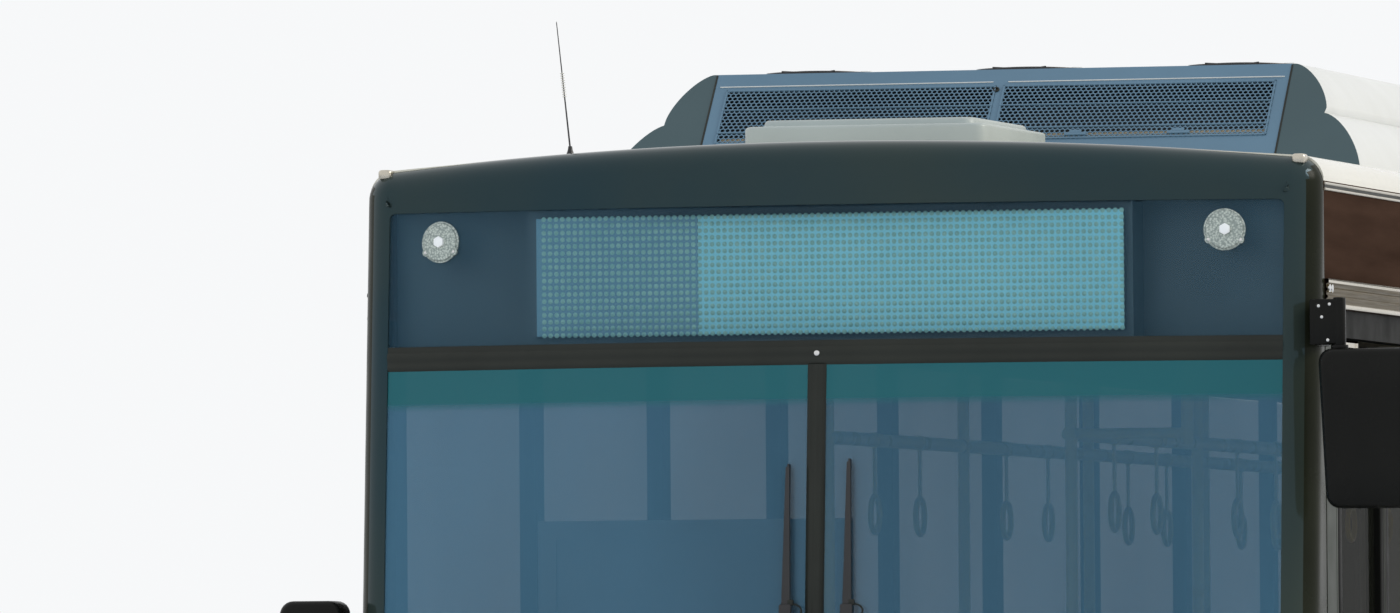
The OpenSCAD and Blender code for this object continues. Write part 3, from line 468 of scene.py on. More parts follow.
plainLooks = {
    "chassisPaint": {"colour": (0.035, 0.035, 0.038), "rough": 0.55,
                     "grime": (0.10, 0.80, (0.16, 0.14, 0.11))},
    "laminate": {"colour": (0.42, 0.43, 0.44), "rough": 0.45, "grain": 600, "grainPower": 0.2},
    "casting": {"colour": (0.13, 0.13, 0.13), "rough": 0.62, "metal": 0.6, "grain": 180,
                "grainPower": 0.5, "grime": (0.10, 0.75, (0.18, 0.15, 0.11))},
    "creamPaint": {"colour": (0.72, 0.675, 0.55), "rough": 0.22, "coat": 0.6, "drift": 0.03,
                   "grainPower": 0.04, "grime": (0.25, 1.05, (0.36, 0.32, 0.25))},
    "blackFrame": {"colour": (0.008, 0.008, 0.007), "rough": 0.36, "gloss": 0.01, "drift": 0.25},
    # dark brown with streaky drift for the cantrail panel: painted shade and reflection of brown buildings,
    # not the panel's own paint
    "cantrailPaintedReflection": {"colour": (0.052, 0.030, 0.021), "rough": 0.40, "gloss": 0.0, "drift": 0.22,
                      "stretch": (0.6, 0.6, 6.0), "grainPower": 0.03},
    "aluminium": {"colour": (0.56, 0.52, 0.44), "rough": 0.30, "metal": 1.0, "drift": 0.08,
                  "stretch": (30.0, 0.8, 30.0), "grain": 90, "grainPower": 0.10},
    "railGold": {"colour": (0.085, 0.064, 0.030), "rough": 0.42, "metal": 0.6, "gloss": 0.1, "drift": 0.18,
                 "stretch": (30.0, 0.8, 30.0), "grain": 90, "grainPower": 0.10},
    # gloss black mask: its blue base, olive second colour and blue specular tint are painted reflections of
    # sky and buildings
    "maskBlackPaintedReflection": {"colour": (0.019, 0.040, 0.046), "second": (0.034, 0.040, 0.028), "cloud": 0.9,
                  "rough": 0.08, "roughSwing": 0.03, "gloss": 0.26, "tint": (0.35, 0.62, 0.85),
                  "drift": 0.15, "grainPower": 0.015, "grain": 40},
    # olive black for the mask's side-facing faces, the same moulding as the front: painted shade and
    # reflection on the returns
    "maskReturnPaintedShade": {"colour": (0.018, 0.020, 0.012), "rough": 0.24, "gloss": 0.05, "drift": 0.25},
    # dark olive laid over the cream pillar: painted shade
    "pillarPaintedShade": {"colour": (0.040, 0.046, 0.036), "rough": 0.34, "gloss": 0.05, "drift": 0.15},
    "mirrorBlack": {"colour": (0.006, 0.006, 0.005), "rough": 0.26, "gloss": 0.12, "drift": 0.25},
    # warm tan on the ledge behind the grille's lowest rows: painted sunlight falling through the grille
    "ledgePaintedSunlight": {"colour": (0.52, 0.43, 0.29), "rough": 0.5, "drift": 0.12},
    "lampWhite": {"colour": (0.95, 0.95, 0.92), "rough": 0.3, "drift": 0.03},
    "trimRubber": {"colour": (0.016, 0.018, 0.014), "rough": 0.55, "gloss": 0.3, "drift": 0.2,
                   "grain": 500},
    "wiperBlack": {"colour": (0.012, 0.012, 0.013), "rough": 0.38, "drift": 0.3, "grain": 700},
    # blue-grey front and darker cheeks of a pale white unit: painted shade and sky reflection
    "unitFrontPaintedShade": {"colour": (0.115, 0.205, 0.28), "rough": 0.36, "gloss": 0.35, "cloud": 2.0,
                 "grainPower": 0.05},
    "unitCheekPaintedShade": {"colour": (0.050, 0.086, 0.094), "rough": 0.34, "gloss": 0.35, "cloud": 2.0,
                  "grainPower": 0.05},
    "unitPale": {"colour": (0.70, 0.70, 0.66), "rough": 0.34, "coat": 0.2, "drift": 0.05},
    "housingGrey": {"colour": (0.035, 0.070, 0.085), "rough": 0.5, "drift": 0.15},
    # near-black for the walls of the grille openings and the sheets behind louvres: painted shade in the
    # recesses
    "recessPaintedShade": {"colour": (0.010, 0.012, 0.014), "rough": 0.7, "drift": 0.3},
    "grilleBlack": {"colour": (0.022, 0.023, 0.025), "rough": 0.42, "metal": 0.3, "drift": 0.2},
    "hatchGrey": {"colour": (0.43, 0.47, 0.44), "rough": 0.42, "drift": 0.06, "grain": 350},
    "wheelSilver": {"colour": (0.50, 0.50, 0.49), "rough": 0.36, "metal": 0.75,
                    "grime": (0.15, 0.95, (0.17, 0.15, 0.12))},
    "shellGrey": {"colour": (0.24, 0.26, 0.28), "rough": 0.42, "grain": 420, "grainPower": 0.25},
    "railYellow": {"colour": (0.72, 0.56, 0.10), "rough": 0.30, "coat": 0.3, "drift": 0.06},
    "deskPlastic": {"colour": (0.055, 0.057, 0.062), "rough": 0.55, "grain": 380, "grainPower": 0.35},
    "brightSteel": {"colour": (0.66, 0.66, 0.65), "rough": 0.24, "metal": 1.0, "drift": 0.06},
    "mirrorGlass": {"colour": (0.78, 0.80, 0.80), "rough": 0.03, "roughSwing": 0.01, "metal": 1.0,
                    "drift": 0.03, "grainPower": 0.0},
    "lampSilver": {"colour": (0.82, 0.83, 0.84), "rough": 0.12, "metal": 1.0, "drift": 0.04},
    "plateBlank": {"colour": (0.72, 0.72, 0.68), "rough": 0.35, "drift": 0.04},
}
for name, look in plainLooks.items():
    plainFinish(name, look)


def glassFinish(name, colour, alpha, gloss=0.5, band=None):
    # tinted pane that lets the inside show, with an optional deeper band above a height; the blue specular
    # tint is a painted sky reflection
    tree, shader, coords = shaderOf(name)
    cloud = noise(tree, coords, 1.4, 3, (1.0, 1.0, 0.35))
    tone = ramp(tree, cloud, [(0.25, shade(colour, 0.80)), (0.75, shade(colour, 1.20))])
    veil = span(tree, cloud, alpha - 0.03, alpha + 0.03)
    if band:
        low, high = band["low"] - band["fade"], band["low"] + band["fade"]
        rise = span(tree, heightOf(tree, coords), 0.0, 1.0, low, high)
        tone = blended(tree, rise, tone, band["colour"])
        veil = worked(tree, "MAXIMUM", veil, span(tree, rise, alpha, band["alpha"], 0.0, 1.0))
    tree.links.new(veil, shader.inputs["Alpha"])
    smear = noise(tree, coords, 5.0, 6, (1.0, 1.0, 0.3))
    surface(tree, shader, tone, span(tree, smear, 0.02, 0.05), Specular_IOR_Level=gloss,
            Specular_Tint=(0.45, 0.75, 1.0))


# The windscreen's and sign glass's blue base colours are partly the glass's own tint, partly a painted sky
# reflection; the teal band at the windscreen's top is its real tinted strip.
glassFinish("windscreenGlassPaintedSky", (0.066, 0.17, 0.25), 0.50,
            band={"low": 2.372, "fade": 0.012, "colour": (0.014, 0.125, 0.135), "alpha": 0.85})
glassFinish("signGlassPaintedSky", (0.045, 0.11, 0.16), 0.15)
glassFinish("sideGlass", (0.012, 0.013, 0.010), 0.60, gloss=0.005)
glassFinish("doorGlass", (0.012, 0.013, 0.010), 0.55, gloss=0.005)
glassFinish("clearGlass", (0.55, 0.60, 0.60), 0.12)


def boardFinish(name, low, high):
    # face of the sign board, seen through the tinted glass
    tree, shader, coords = shaderOf(name)
    tone = ramp(tree, noise(tree, coords, 1.1, 2, (1.0, 1.0, 2.0)), [(0.25, low), (0.75, high)])
    surface(tree, shader, tone, span(tree, noise(tree, coords, 30), 0.35, 0.5))
    bump(tree, shader, noise(tree, coords, 400), 0.1, 0.0003)


def dotFinish():
    tree, shader, coords = shaderOf("dotYellow")
    flicker = noise(tree, coords, 38.0, 1)
    tone = ramp(tree, flicker, [(0.30, (0.22, 0.50, 0.46)), (0.70, (0.30, 0.58, 0.52))])
    surface(tree, shader, tone, span(tree, flicker, 0.3, 0.5))


def lensFinish(name, colour, alpha, ribs):
    # moulded lens with fine ribs on its back
    tree, shader, coords = shaderOf(name)
    tone = ramp(tree, noise(tree, coords, 25.0), [(0.3, shade(colour, 0.85)), (0.7, shade(colour, 1.1))])
    wave = tree.nodes.new("ShaderNodeTexWave")
    wave.wave_type = "BANDS"
    wave.bands_direction = "X"
    wave.inputs["Scale"].default_value = ribs
    tree.links.new(coords, wave.inputs["Vector"])
    bump(tree, shader, wave.outputs["Fac"], 0.5, 0.001)
    tree.links.new(span(tree, wave.outputs["Fac"], alpha, alpha + 0.15, 0.0, 1.0), shader.inputs["Alpha"])
    surface(tree, shader, tone, span(tree, noise(tree, coords, 12), 0.05, 0.12), Specular_IOR_Level=0.9)


def markerFinish():
    # clear moulding with a pebbled back
    tree, shader, coords = shaderOf("markerLens")
    pebbles = cells(tree, coords, 190.0)
    tone = ramp(tree, pebbles, [(0.10, (0.62, 0.66, 0.58)), (0.70, (0.26, 0.30, 0.27))])
    surface(tree, shader, tone, span(tree, noise(tree, coords, 30), 0.18, 0.34))
    bump(tree, shader, pebbles, 0.6, 0.0015)


def floorSheetFinish():
    # safety flooring with pale and dark flecks
    tree, shader, coords = shaderOf("floorSheet")
    flecks = cells(tree, coords, 260.0)
    tone = ramp(tree, flecks, [(0.10, (0.42, 0.45, 0.47)), (0.30, (0.15, 0.165, 0.18))])
    surface(tree, shader, tone, span(tree, noise(tree, coords, 5), 0.45, 0.7))
    bump(tree, shader, flecks, 0.3, 0.0006)


def tyreFinish():
    tree, shader, coords = shaderOf("tyreRubber")
    dust = noise(tree, coords, 11.0, 8)
    tone = ramp(tree, dust, [(0.35, (0.016, 0.016, 0.017)), (0.75, (0.055, 0.050, 0.043))])
    surface(tree, shader, tone, span(tree, dust, 0.62, 0.85))
    bump(tree, shader, noise(tree, coords, 320), 0.35, 0.0007)


def moquetteFinish():
    # blue woven cover with a small diamond figure and a soft pile
    tree, shader, coords = shaderOf("moquette")
    mapping = tree.nodes.new("ShaderNodeMapping")
    mapping.inputs["Rotation"].default_value = [math.radians(45)] * 3
    tree.links.new(coords, mapping.inputs["Vector"])
    figure = tree.nodes.new("ShaderNodeTexChecker")
    figure.inputs["Scale"].default_value = 46.0
    figure.inputs["Color1"].default_value = (0.030, 0.060, 0.150, 1)
    figure.inputs["Color2"].default_value = (0.050, 0.110, 0.230, 1)
    tree.links.new(mapping.outputs["Vector"], figure.inputs["Vector"])
    yarn = noise(tree, coords, 620.0, 2)
    weave = ramp(tree, yarn, [(0.3, (0.55, 0.55, 0.6)), (0.7, (1.0, 1.0, 1.0))])
    tone = blended(tree, 0.6, figure.outputs["Color"], weave, "MULTIPLY")
    surface(tree, shader, tone, span(tree, yarn, 0.75, 0.95), Sheen_Weight=0.4)
    bump(tree, shader, yarn, 0.6, 0.0012)


# one board: the pale colour is the board in painted sunlight, the deep colour the same board in painted
# shade
boardFinish("boardPaintedSunlit", (0.22, 0.64, 0.76), (0.27, 0.72, 0.84))
boardFinish("boardPaintedShade", (0.11, 0.27, 0.37), (0.14, 0.33, 0.43))
dotFinish()
markerFinish()
lensFinish("headLens", (0.70, 0.74, 0.76), 0.30, 14.0)
lensFinish("redLens", (0.42, 0.012, 0.010), 0.90, 45.0)
lensFinish("amberLens", (0.62, 0.20, 0.010), 0.90, 45.0)
floorSheetFinish()
tyreFinish()
moquetteFinish()

slotFinish = {
    "chassis_paint": "chassisPaint", "floor_sheet": "floorSheet", "inner_panel": "laminate",
    "cast_metal": "casting", "body_paint": "creamPaint", "black_frame": "blackFrame",
    "tinted_glass": "sideGlass", "cantrail_paint": "cantrailPaintedReflection", "bare_aluminium": "aluminium",
    "gloss_black": "maskBlackPaintedReflection", "sign_glazing": "signGlassPaintedSky", "sign_dots": "housingGrey",
    "screen_glass": "windscreenGlassPaintedSky", "rubber_trim": "trimRubber", "clear_lens": "headLens",
    "unit_metal": "unitPale", "grille_metal": "grilleBlack", "red_lens": "redLens",
    "hatch_plastic": "hatchGrey", "rim_paint": "wheelSilver", "tyre_rubber": "tyreRubber",
    "seat_moulding": "moquette", "seat_shell": "shellGrey", "grab_rail": "railYellow",
    "cab_plastic": "deskPlastic",
}
for part in record["subparts"]:
    node = nodes[part["node"]]
    finish = finishes[slotFinish.get(part["material_slot"], "laminate")]
    if node.material_slots:
        for held in node.material_slots:
            held.material = finish
    else:
        node.data.materials.append(finish)
print("stage: finishes made,", len(finishes))


# Front mask: posts, round corners and the rolled top in one skin

maskSkin = {
    "glassRound": 0.016,
    "thick": 0.010,
    "lip": 0.022,
    "topShare": 0.50,     # the outline's half: first the top edge,
    "coveShare": 0.62,    # then the round corner, then the post
    "roundStart": 0.42,   # across the skin: first the face,
    "backStart": 0.80,    # then the rolled edge, then the return
    "lug": ((1.180, -5.828, 2.960), (1.214, -5.780, 2.986)),
}
topShare, coveShare = maskSkin["topShare"], maskSkin["coveShare"]
coveZ = maskHigh.z - frontForm["crown"] - frontForm["cove"]


def between(low, high, share):
    return low + (high - low) * share


def eased(value):
    return max(0.0, min(1.0, value))


def maskOutline(t):
    # outer edge seen from the front, from the left foot over the top to the right foot
    cove, crown = frontForm["cove"], frontForm["crown"]
    edgeX = halfWidth - cove
    bigR = (edgeX ** 2 + crown ** 2) / (2 * crown)
    side = 1 if t > 0.5 else -1
    s = abs(t - 0.5) * 2          # 0 at the middle of the top, 1 at the foot
    if s <= topShare:
        x = edgeX * s / topShare
        return side * x, maskHigh.z - bigR + math.sqrt(bigR ** 2 - x * x), Vector((0, -1))
    if s <= coveShare:
        a = (s - topShare) / (coveShare - topShare) * math.pi / 2
        inward = Vector((-side * math.sin(a), -math.cos(a)))
        return side * (edgeX + cove * math.sin(a)), coveZ + cove * math.cos(a), inward
    z = between(coveZ, frontForm["foot"], (s - coveShare) / (1 - coveShare))
    return side * halfWidth, z, Vector((-side, 0))


def maskInner(s, side, x, z):
    # edge of the sign glass, where the skin starts
    r, foot = maskSkin["glassRound"], frontForm["foot"]
    cornerX, cornerZ = glassHigh.x - r, glassHigh.z - r
    if s <= topShare:
        return side * abs(x) * cornerX / (halfWidth - frontForm["cove"]), glassHigh.z
    if s <= coveShare:
        a = (s - topShare) / (coveShare - topShare) * math.pi / 2
        return side * (cornerX + r * math.sin(a)), cornerZ + r * math.cos(a)
    return side * glassHigh.x, foot + (cornerZ - foot) * (z - foot) / (coveZ - foot)


def maskPoint(u, v):
    x, z, inward = maskOutline(u)
    s = abs(u - 0.5) * 2
    roll = between(frontForm["corner"], frontForm["topRoll"], eased((0.58 - s) / 0.08))
    roundStart, backStart, lip = maskSkin["roundStart"], maskSkin["backStart"], maskSkin["lip"]
    if v <= roundStart:
        k = v / roundStart
        glassX, glassZ = maskInner(s, 1 if u > 0.5 else -1, x, z)
        px, pz = between(glassX, x + inward.x * roll, k), between(glassZ, z + inward.y * roll, k)
        return Vector((px, frontDepth(px, pz), pz))
    if v <= backStart:
        a = (v - roundStart) / (backStart - roundStart) * math.pi / 2
        inset = roll * (1 - math.sin(a))
        px, pz = x + inward.x * inset, z + inward.y * inset
        return Vector((px, frontDepth(px, pz) + roll * (1 - math.cos(a)), pz))
    # the posts' returns reach back to the sides, the top's only over its lip
    start = frontDepth(x, z) + roll
    end = between(start + lip, maskBackY - 0.001, eased((s - topShare) / (coveShare - topShare)))
    return Vector((x, between(start, end, (v - backStart) / (1 - backStart)), z))


mask = faceForward(fixNormals(gridSheet("mask_skin", 160, 26, maskPoint)))
# the mask skin is gloss black; its blue and olive drift is painted reflection
dress(smooth(thickened(mask, maskSkin["thick"]), 50), "maskBlackPaintedReflection", slotName="gloss_black")
# faces turned to the sides get the olive black: painted shade and reflection by facing, not a second paint
mask.data.materials.append(finishes["maskReturnPaintedShade"])
for face in mask.data.polygons:
    if abs(face.normal.x) > 0.72 and abs(face.center.x) > halfWidth - frontForm["corner"] / 2:
        face.material_index = 1
finished("mask_lugs", [bothSides(rounded(box("lug", *maskSkin["lug"]), 0.008))], "aluminium")
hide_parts("front_mask")
print("stage: mask skin,", len(mask.data.polygons), "faces")


# Panes of the front

paneSettings = {
    "inset": 0.004,
    "thick": 0.008,
    "gap": 0.003,
    "barMiddle": 2.491,
    "barHalf": 0.025,
}
barBottom = paneSettings["barMiddle"] - paneSettings["barHalf"]
barTop = paneSettings["barMiddle"] + paneSettings["barHalf"]
screenFoot = frontForm["foot"] + 0.001


def frontPane(name, x0, x1, z0, z1, inset=paneSettings["inset"], thick=paneSettings["thick"], up=24):
    def place(u, v):
        return onFront(between(x0, x1, u), between(z0, z1, v), -inset)

    return smooth(thickened(faceForward(gridSheet(name, 72, up, place)), thick), 50)


signPane = frontPane("sign_pane", -glassHigh.x, glassHigh.x, barTop - 0.02, glassHigh.z)
dress(signPane, "signGlassPaintedSky", slotName="sign_glazing")
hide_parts("sign_glass")
for side in (-1, 1):
    x0, x1 = sorted((side * paneSettings["gap"], side * glassHigh.x))
    pane = frontPane("windscreen_pane_" + sideName(side), x0, x1, screenFoot, barBottom + 0.02)
    dress(pane, "windscreenGlassPaintedSky", slotName="screen_glass")
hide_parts("windscreen")


# Bars on the glass: the horizontal bar with a rounded upper half, the divider with two ribs

def barPiece(name, x0, x1, z0, z1, profile, upright):
    # profile gives how far the bar stands out, from its low or left edge to its high or right edge
    steps = len(profile) - 1

    def place(u, v):
        lift = profile[round((u if upright else v) * steps)]
        return onFront(between(x0, x1, u), between(z0, z1, v), lift)

    across, up = (steps, 60) if upright else (96, steps)
    return smooth(thickened(faceForward(gridSheet(name, across, up, place)), 0.004), 40)


crossProfile = [-0.0035, 0.000, 0.001, 0.001, 0.000, 0.0015, 0.003, 0.0038, 0.0035, 0.002, -0.0035]
dividerProfile = [-0.0035, 0.001, 0.0035, 0.0010, 0.0008, 0.0032, 0.0032, 0.0008, 0.0010, 0.0035, 0.001,
                  -0.0035]
dividerHalf = 0.0245
crossBar = barPiece("cross_bar", barLow.x, barHigh.x, barBottom, barTop, crossProfile, False)
dress(crossBar, "trimRubber", slotName="rubber_trim")
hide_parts("screen_bars")
frit = frontPane("sign_frit", barLow.x, barHigh.x, barTop - 0.004, barTop + 0.012, 0.0005, 0.003, 2)
dress(frit, "trimRubber")
divider = barPiece("screen_divider", -dividerHalf, dividerHalf, screenFoot, barBottom + 0.001,
                   dividerProfile, True)
dress(divider, "trimRubber", slotName="rubber_trim")
dividerScrew = screwHead(frontPlace(0.0, paneSettings["barMiddle"] + 0.004) @ shift(0, -0.001, 0),
                         0.0075, 0.0028)
finished("divider_screw", [dividerScrew], "brightSteel")
print("stage: front glass and bars")


# Round marker lamps on the sign glass

markerSettings = {
    "x": 1.025,
    "z": 2.795,
    "radius": 0.049,
    "stand": 0.010,
    "core": 0.0150,
    "lug": (0.040, -0.026),
    # (how far it stands out, share of the radius), with three ridges inside the rim
    "lens": ((0.0, 0.2), (0.0, 1.0), (0.005, 1.0), (0.0085, 0.96), (0.0098, 0.80), (0.0088, 0.72),
             (0.0099, 0.62), (0.0088, 0.54), (0.0099, 0.44), (0.0086, 0.36), (0.0090, 0.2)),
}


def makeMarkerLamp(side):
    look, r, label = markerSettings, markerSettings["radius"], sideName(side)
    place = frontPlace(side * look["x"], look["z"])
    back, ahead = (0, 0.004, 0), (0, -1, 0)
    lens = spun("lens", [(out, r * share) for out, share in look["lens"]], back, ahead)
    lens = finished("marker_lens_" + label, [lens], "markerLens", 30, place, slotName="clear_lens")
    core = rounded(rod("core", (0, 0.003, 0), (0, -look["stand"] - 0.002, 0), look["core"], 6), 0.0012, 2)
    finished("marker_core_" + label, [core], "lampWhite", 30, place, slotName="clear_lens")
    ringOutline = [(0.0, r + 0.0002), (0.0, r + 0.004), (0.003, r + 0.004), (0.005, r + 0.0002)]
    base = [spun("ring", ringOutline, back, ahead)]
    for lugSide in (-1, 1):
        x, z = lugSide * look["lug"][0], look["lug"][1]
        base.append(rounded(rod("lug", (x, 0.003, z), (x, -0.003, z), 0.010, 20), 0.0015, 2))
        screw = screwHead(place @ shift(x, -0.0028, z), 0.0045, 0.002)
        finished("marker_screw_%s_%d" % (label, lugSide + 1), [screw], "brightSteel")
    finished("marker_base_" + label, base, "markerLens", 30, place)
    return lens


rightLens = makeMarkerLamp(-1)
makeMarkerLamp(1)
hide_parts("marker_lamps")


# Sign board behind the glass: one board, its right part in painted sunlight and its left part in painted
# shade, under one blank grid of round dots

signSettings = {
    "fieldLow": (-0.742, 2.551),
    "fieldHigh": (0.767, 2.847),
    "columns": 93,
    "rows": 18,
    "dotRadius": 0.0064,
    "dotRise": 0.0022,
    "sunlitFrom": -0.336,
    "faceThick": 0.0015,
}


def makeSignFace():
    look = signSettings
    split, faceY = look["sunlitFrom"], boardLow.y - look["faceThick"]
    (x0, z0), (x1, z1) = look["fieldLow"], look["fieldHigh"]
    # right part in painted sunlight, left part in painted shade, both the same board
    for name, start, end, finish in (("sign_face_painted_sunlit", split, x1 + 0.004, "boardPaintedSunlit"),
                                     ("sign_face_painted_shade", x0 - 0.020, split - 0.001, "boardPaintedShade")):
        field = box(name, (start, faceY, z0 - 0.002), (end, boardLow.y - 0.0001, z1 + 0.002))
        dress(rounded(field, 0.0005, 2), finish, slotName="sign_dots")
    # one dot, then rows and columns by arrays
    dot = disc("dot", look["dotRadius"], 10)
    editAll(dot)
    bpy.ops.mesh.inset(thickness=look["dotRadius"] * 0.35, depth=look["dotRise"])
    stopEdit()
    arrayed(dot, look["columns"], ((x1 - x0) / (look["columns"] - 1), 0, 0))
    arrayed(dot, look["rows"], (0, (z1 - z0) / (look["rows"] - 1), 0))
    place = shift(x0, faceY - 0.0002, z0) @ turned("X", math.radians(90))
    finished("sign_dots", [dot], "dotYellow", 60, place, slotName="sign_dots")


makeSignFace()
print("stage: marker lamps and sign")


# Roof unit: a moulded cover with a sloping perforated face

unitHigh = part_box("roof_unit")[1]
unitSettings = {
    "footY": -4.260,
    "endY": -1.260,
    "slope": 0.255,
    "roofZ": 3.024,
    "faceHalf": 0.790,
    "shoulderX": 0.800,
    "waist": 0.906,
    "waistZ": 3.172,
    "round": 1.5,
    "footX": 1.030,
    "footZ": 2.990,
    "grilleX": (0.010, 0.755),
    "grilleTop": 0.062,
    "grilleHigh": 0.205,
    "ribs": (0.238, 0.152),
    "ledge": (0.115, 0.146),
    "clips": (0.235, 0.515),
    "pitch": 0.0139,
    "web": 0.0015,
    "sheet": 0.0022,
    "hollow": 0.070,
    "bolts": 9,
    "boltPitch": 0.32,
}
unitRise = unitHigh.z - unitSettings["roofZ"]
faceAngle = math.atan(unitSettings["slope"] / unitRise)
faceLength = unitRise / math.cos(faceAngle)
grilleTop = faceLength - unitSettings["grilleTop"]
grilleFoot = grilleTop - unitSettings["grilleHigh"]
grilleInner, grilleOuter = unitSettings["grilleX"]
facePlace = shift(0, unitSettings["footY"], unitSettings["roofZ"]) @ turned("X", -faceAngle)


def unitSection(v):
    # from the left foot over the top to the right foot, round an upper and a lower lobe with a crease
    look = unitSettings
    side = 1 if v > 0.5 else -1
    s = abs(v - 0.5) * 2
    if s < 0.4:
        return side * look["shoulderX"] * s / 0.4, unitHigh.z
    if s < 0.7:
        a, x0, x1 = (s - 0.4) / 0.3, look["shoulderX"], look["waist"]
        low, high = look["waistZ"], unitHigh.z
    else:
        a, x0, x1 = (s - 0.7) / 0.3, look["waist"] - 0.004, look["footX"]
        low, high = look["footZ"], look["waistZ"] - 0.010
    a *= math.pi / 2
    soft = 2 / look["round"]
    return side * between(x0, x1, math.sin(a) ** soft), between(low, high, max(0.0, math.cos(a)) ** soft)


def unitPoint(u, v):
    x, z = unitSection(v)
    lean = (z - unitSettings["roofZ"]) / unitRise * unitSettings["slope"]
    return Vector((x, between(unitSettings["footY"] + lean, unitSettings["endY"] - lean, u), z))


def onSlope(end):
    # tells the edges of the sloping front (0) or back (1)
    def test(middle, along):
        slant = (unitHigh.z - middle.z) / unitRise * unitSettings["slope"] * (1 - 2 * end)
        return abs(middle.y - unitPoint(end, 0.5).y + slant) < 0.002 and abs(along.y) < 0.72

    return test


def makeRoofUnit():
    look = unitSettings
    cover = gridSheet("unit_cover", 12, 120, unitPoint)
    for end in (0, 1):
        chooseEdges(cover, onSlope(end))
        bpy.ops.mesh.edge_face_add()
        stopEdit()
    fixNormals(cover)
    cutters = []
    for side in (-1, 1):
        x0, x1 = sorted((side * (grilleInner + 0.006), side * (grilleOuter - 0.006)))
        cutter = box("cutter", (x0, -0.05, grilleFoot + 0.006), (x1, look["hollow"], grilleTop - 0.006))
        cutters.append(moved(cutter, facePlace))
    cutBy(cover, join("cutters", cutters))
    for side in (-1, 1):
        editAll(cover)
        bpy.ops.mesh.bisect(plane_co=(side * look["faceHalf"], 0, 0), plane_no=(1, 0, 0))
        stopEdit()
    dress(smooth(cover, 32), "unitPale", slotName="unit_metal")
    for finish in ("unitFrontPaintedShade", "recessPaintedShade", "unitCheekPaintedShade"):
        cover.data.materials.append(finishes[finish])
    inverse = facePlace.inverted()
    for face in cover.data.polygons:
        x, y, z = inverse @ face.center
        # the cut walls inside the grille openings get near-black painted shade
        if abs(x) < grilleOuter and 0.004 < y < look["hollow"] + 0.002 and z > 0.1:
            face.material_index = 2
        # front faces get the blue-grey and the cheeks the darker blue-grey: painted shade on the white
        # moulding
        elif y < 0.004:
            face.material_index = 1 if abs(x) < look["faceHalf"] else 3
    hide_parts("roof_unit")
    return cover


cover = makeRoofUnit()
print("stage: roof unit", len(cover.data.polygons))


def makePerforated(side):
    # a honeycomb of rings, trimmed to the opening and given its thickness
    look = unitSettings
    pitch, high, wide = look["pitch"], look["grilleHigh"], grilleOuter - grilleInner
    radius = pitch / math.sqrt(3)
    sheet = disc("sheet", radius, 6)
    editAll(sheet)
    bpy.ops.mesh.inset(thickness=look["web"])
    bpy.ops.mesh.delete(type="FACE")
    stopEdit()
    columns = math.ceil(wide / pitch) + 2
    rows = math.ceil(high / (3 * radius)) + 1
    for count, offset in ((columns, (pitch, 0, 0)), (2, (pitch / 2, 1.5 * radius, 0)),
                          (rows, (0, 3 * radius, 0))):
        arrayed(sheet, count, offset, use_merge_vertices=True, merge_threshold=0.0003)
    editAll(moved(sheet, shift(-pitch, -radius, 0)))
    for spot, normal in (((0, 0, 0), (-1, 0, 0)), ((wide, 0, 0), (1, 0, 0)), ((0, 0, 0), (0, -1, 0)),
                         ((0, high, 0), (0, 1, 0))):
        bpy.ops.mesh.select_all(action="SELECT")
        bpy.ops.mesh.bisect(plane_co=spot, plane_no=normal, clear_outer=True)
    stopEdit()
    # frame of flat strips round the holes
    edge = 0.005
    spans = ((0, 0, wide, edge), (0, high - edge, wide, high), (0, 0, edge, high),
             (wide - edge, 0, wide, high))
    strips = [box("strip", (x0, y0, -0.0002), (x1, y1, 0.0028)) for x0, y0, x1, y1 in spans]
    modify(sheet, "SOLIDIFY", thickness=look["sheet"], offset=1)
    grille = join("unit_grille_" + sideName(side), [sheet] + strips)
    moved(grille, facePlace @ shift(grilleInner, 0, grilleFoot) @ turned("X", math.radians(90)))
    if side < 0:
        acrossBus(grille)
    # the grille takes the front's painted-shade blue-grey
    return dress(grille, "unitFrontPaintedShade", slotName="grille_metal")


leftGrille = makePerforated(1)
makePerforated(-1)
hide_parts("unit_grilles")


def faceBoxes(name, spans):
    # boxes on the sloping face, each from its two corners
    return join(name, [moved(box("trim", low, high), facePlace) for low, high in spans])


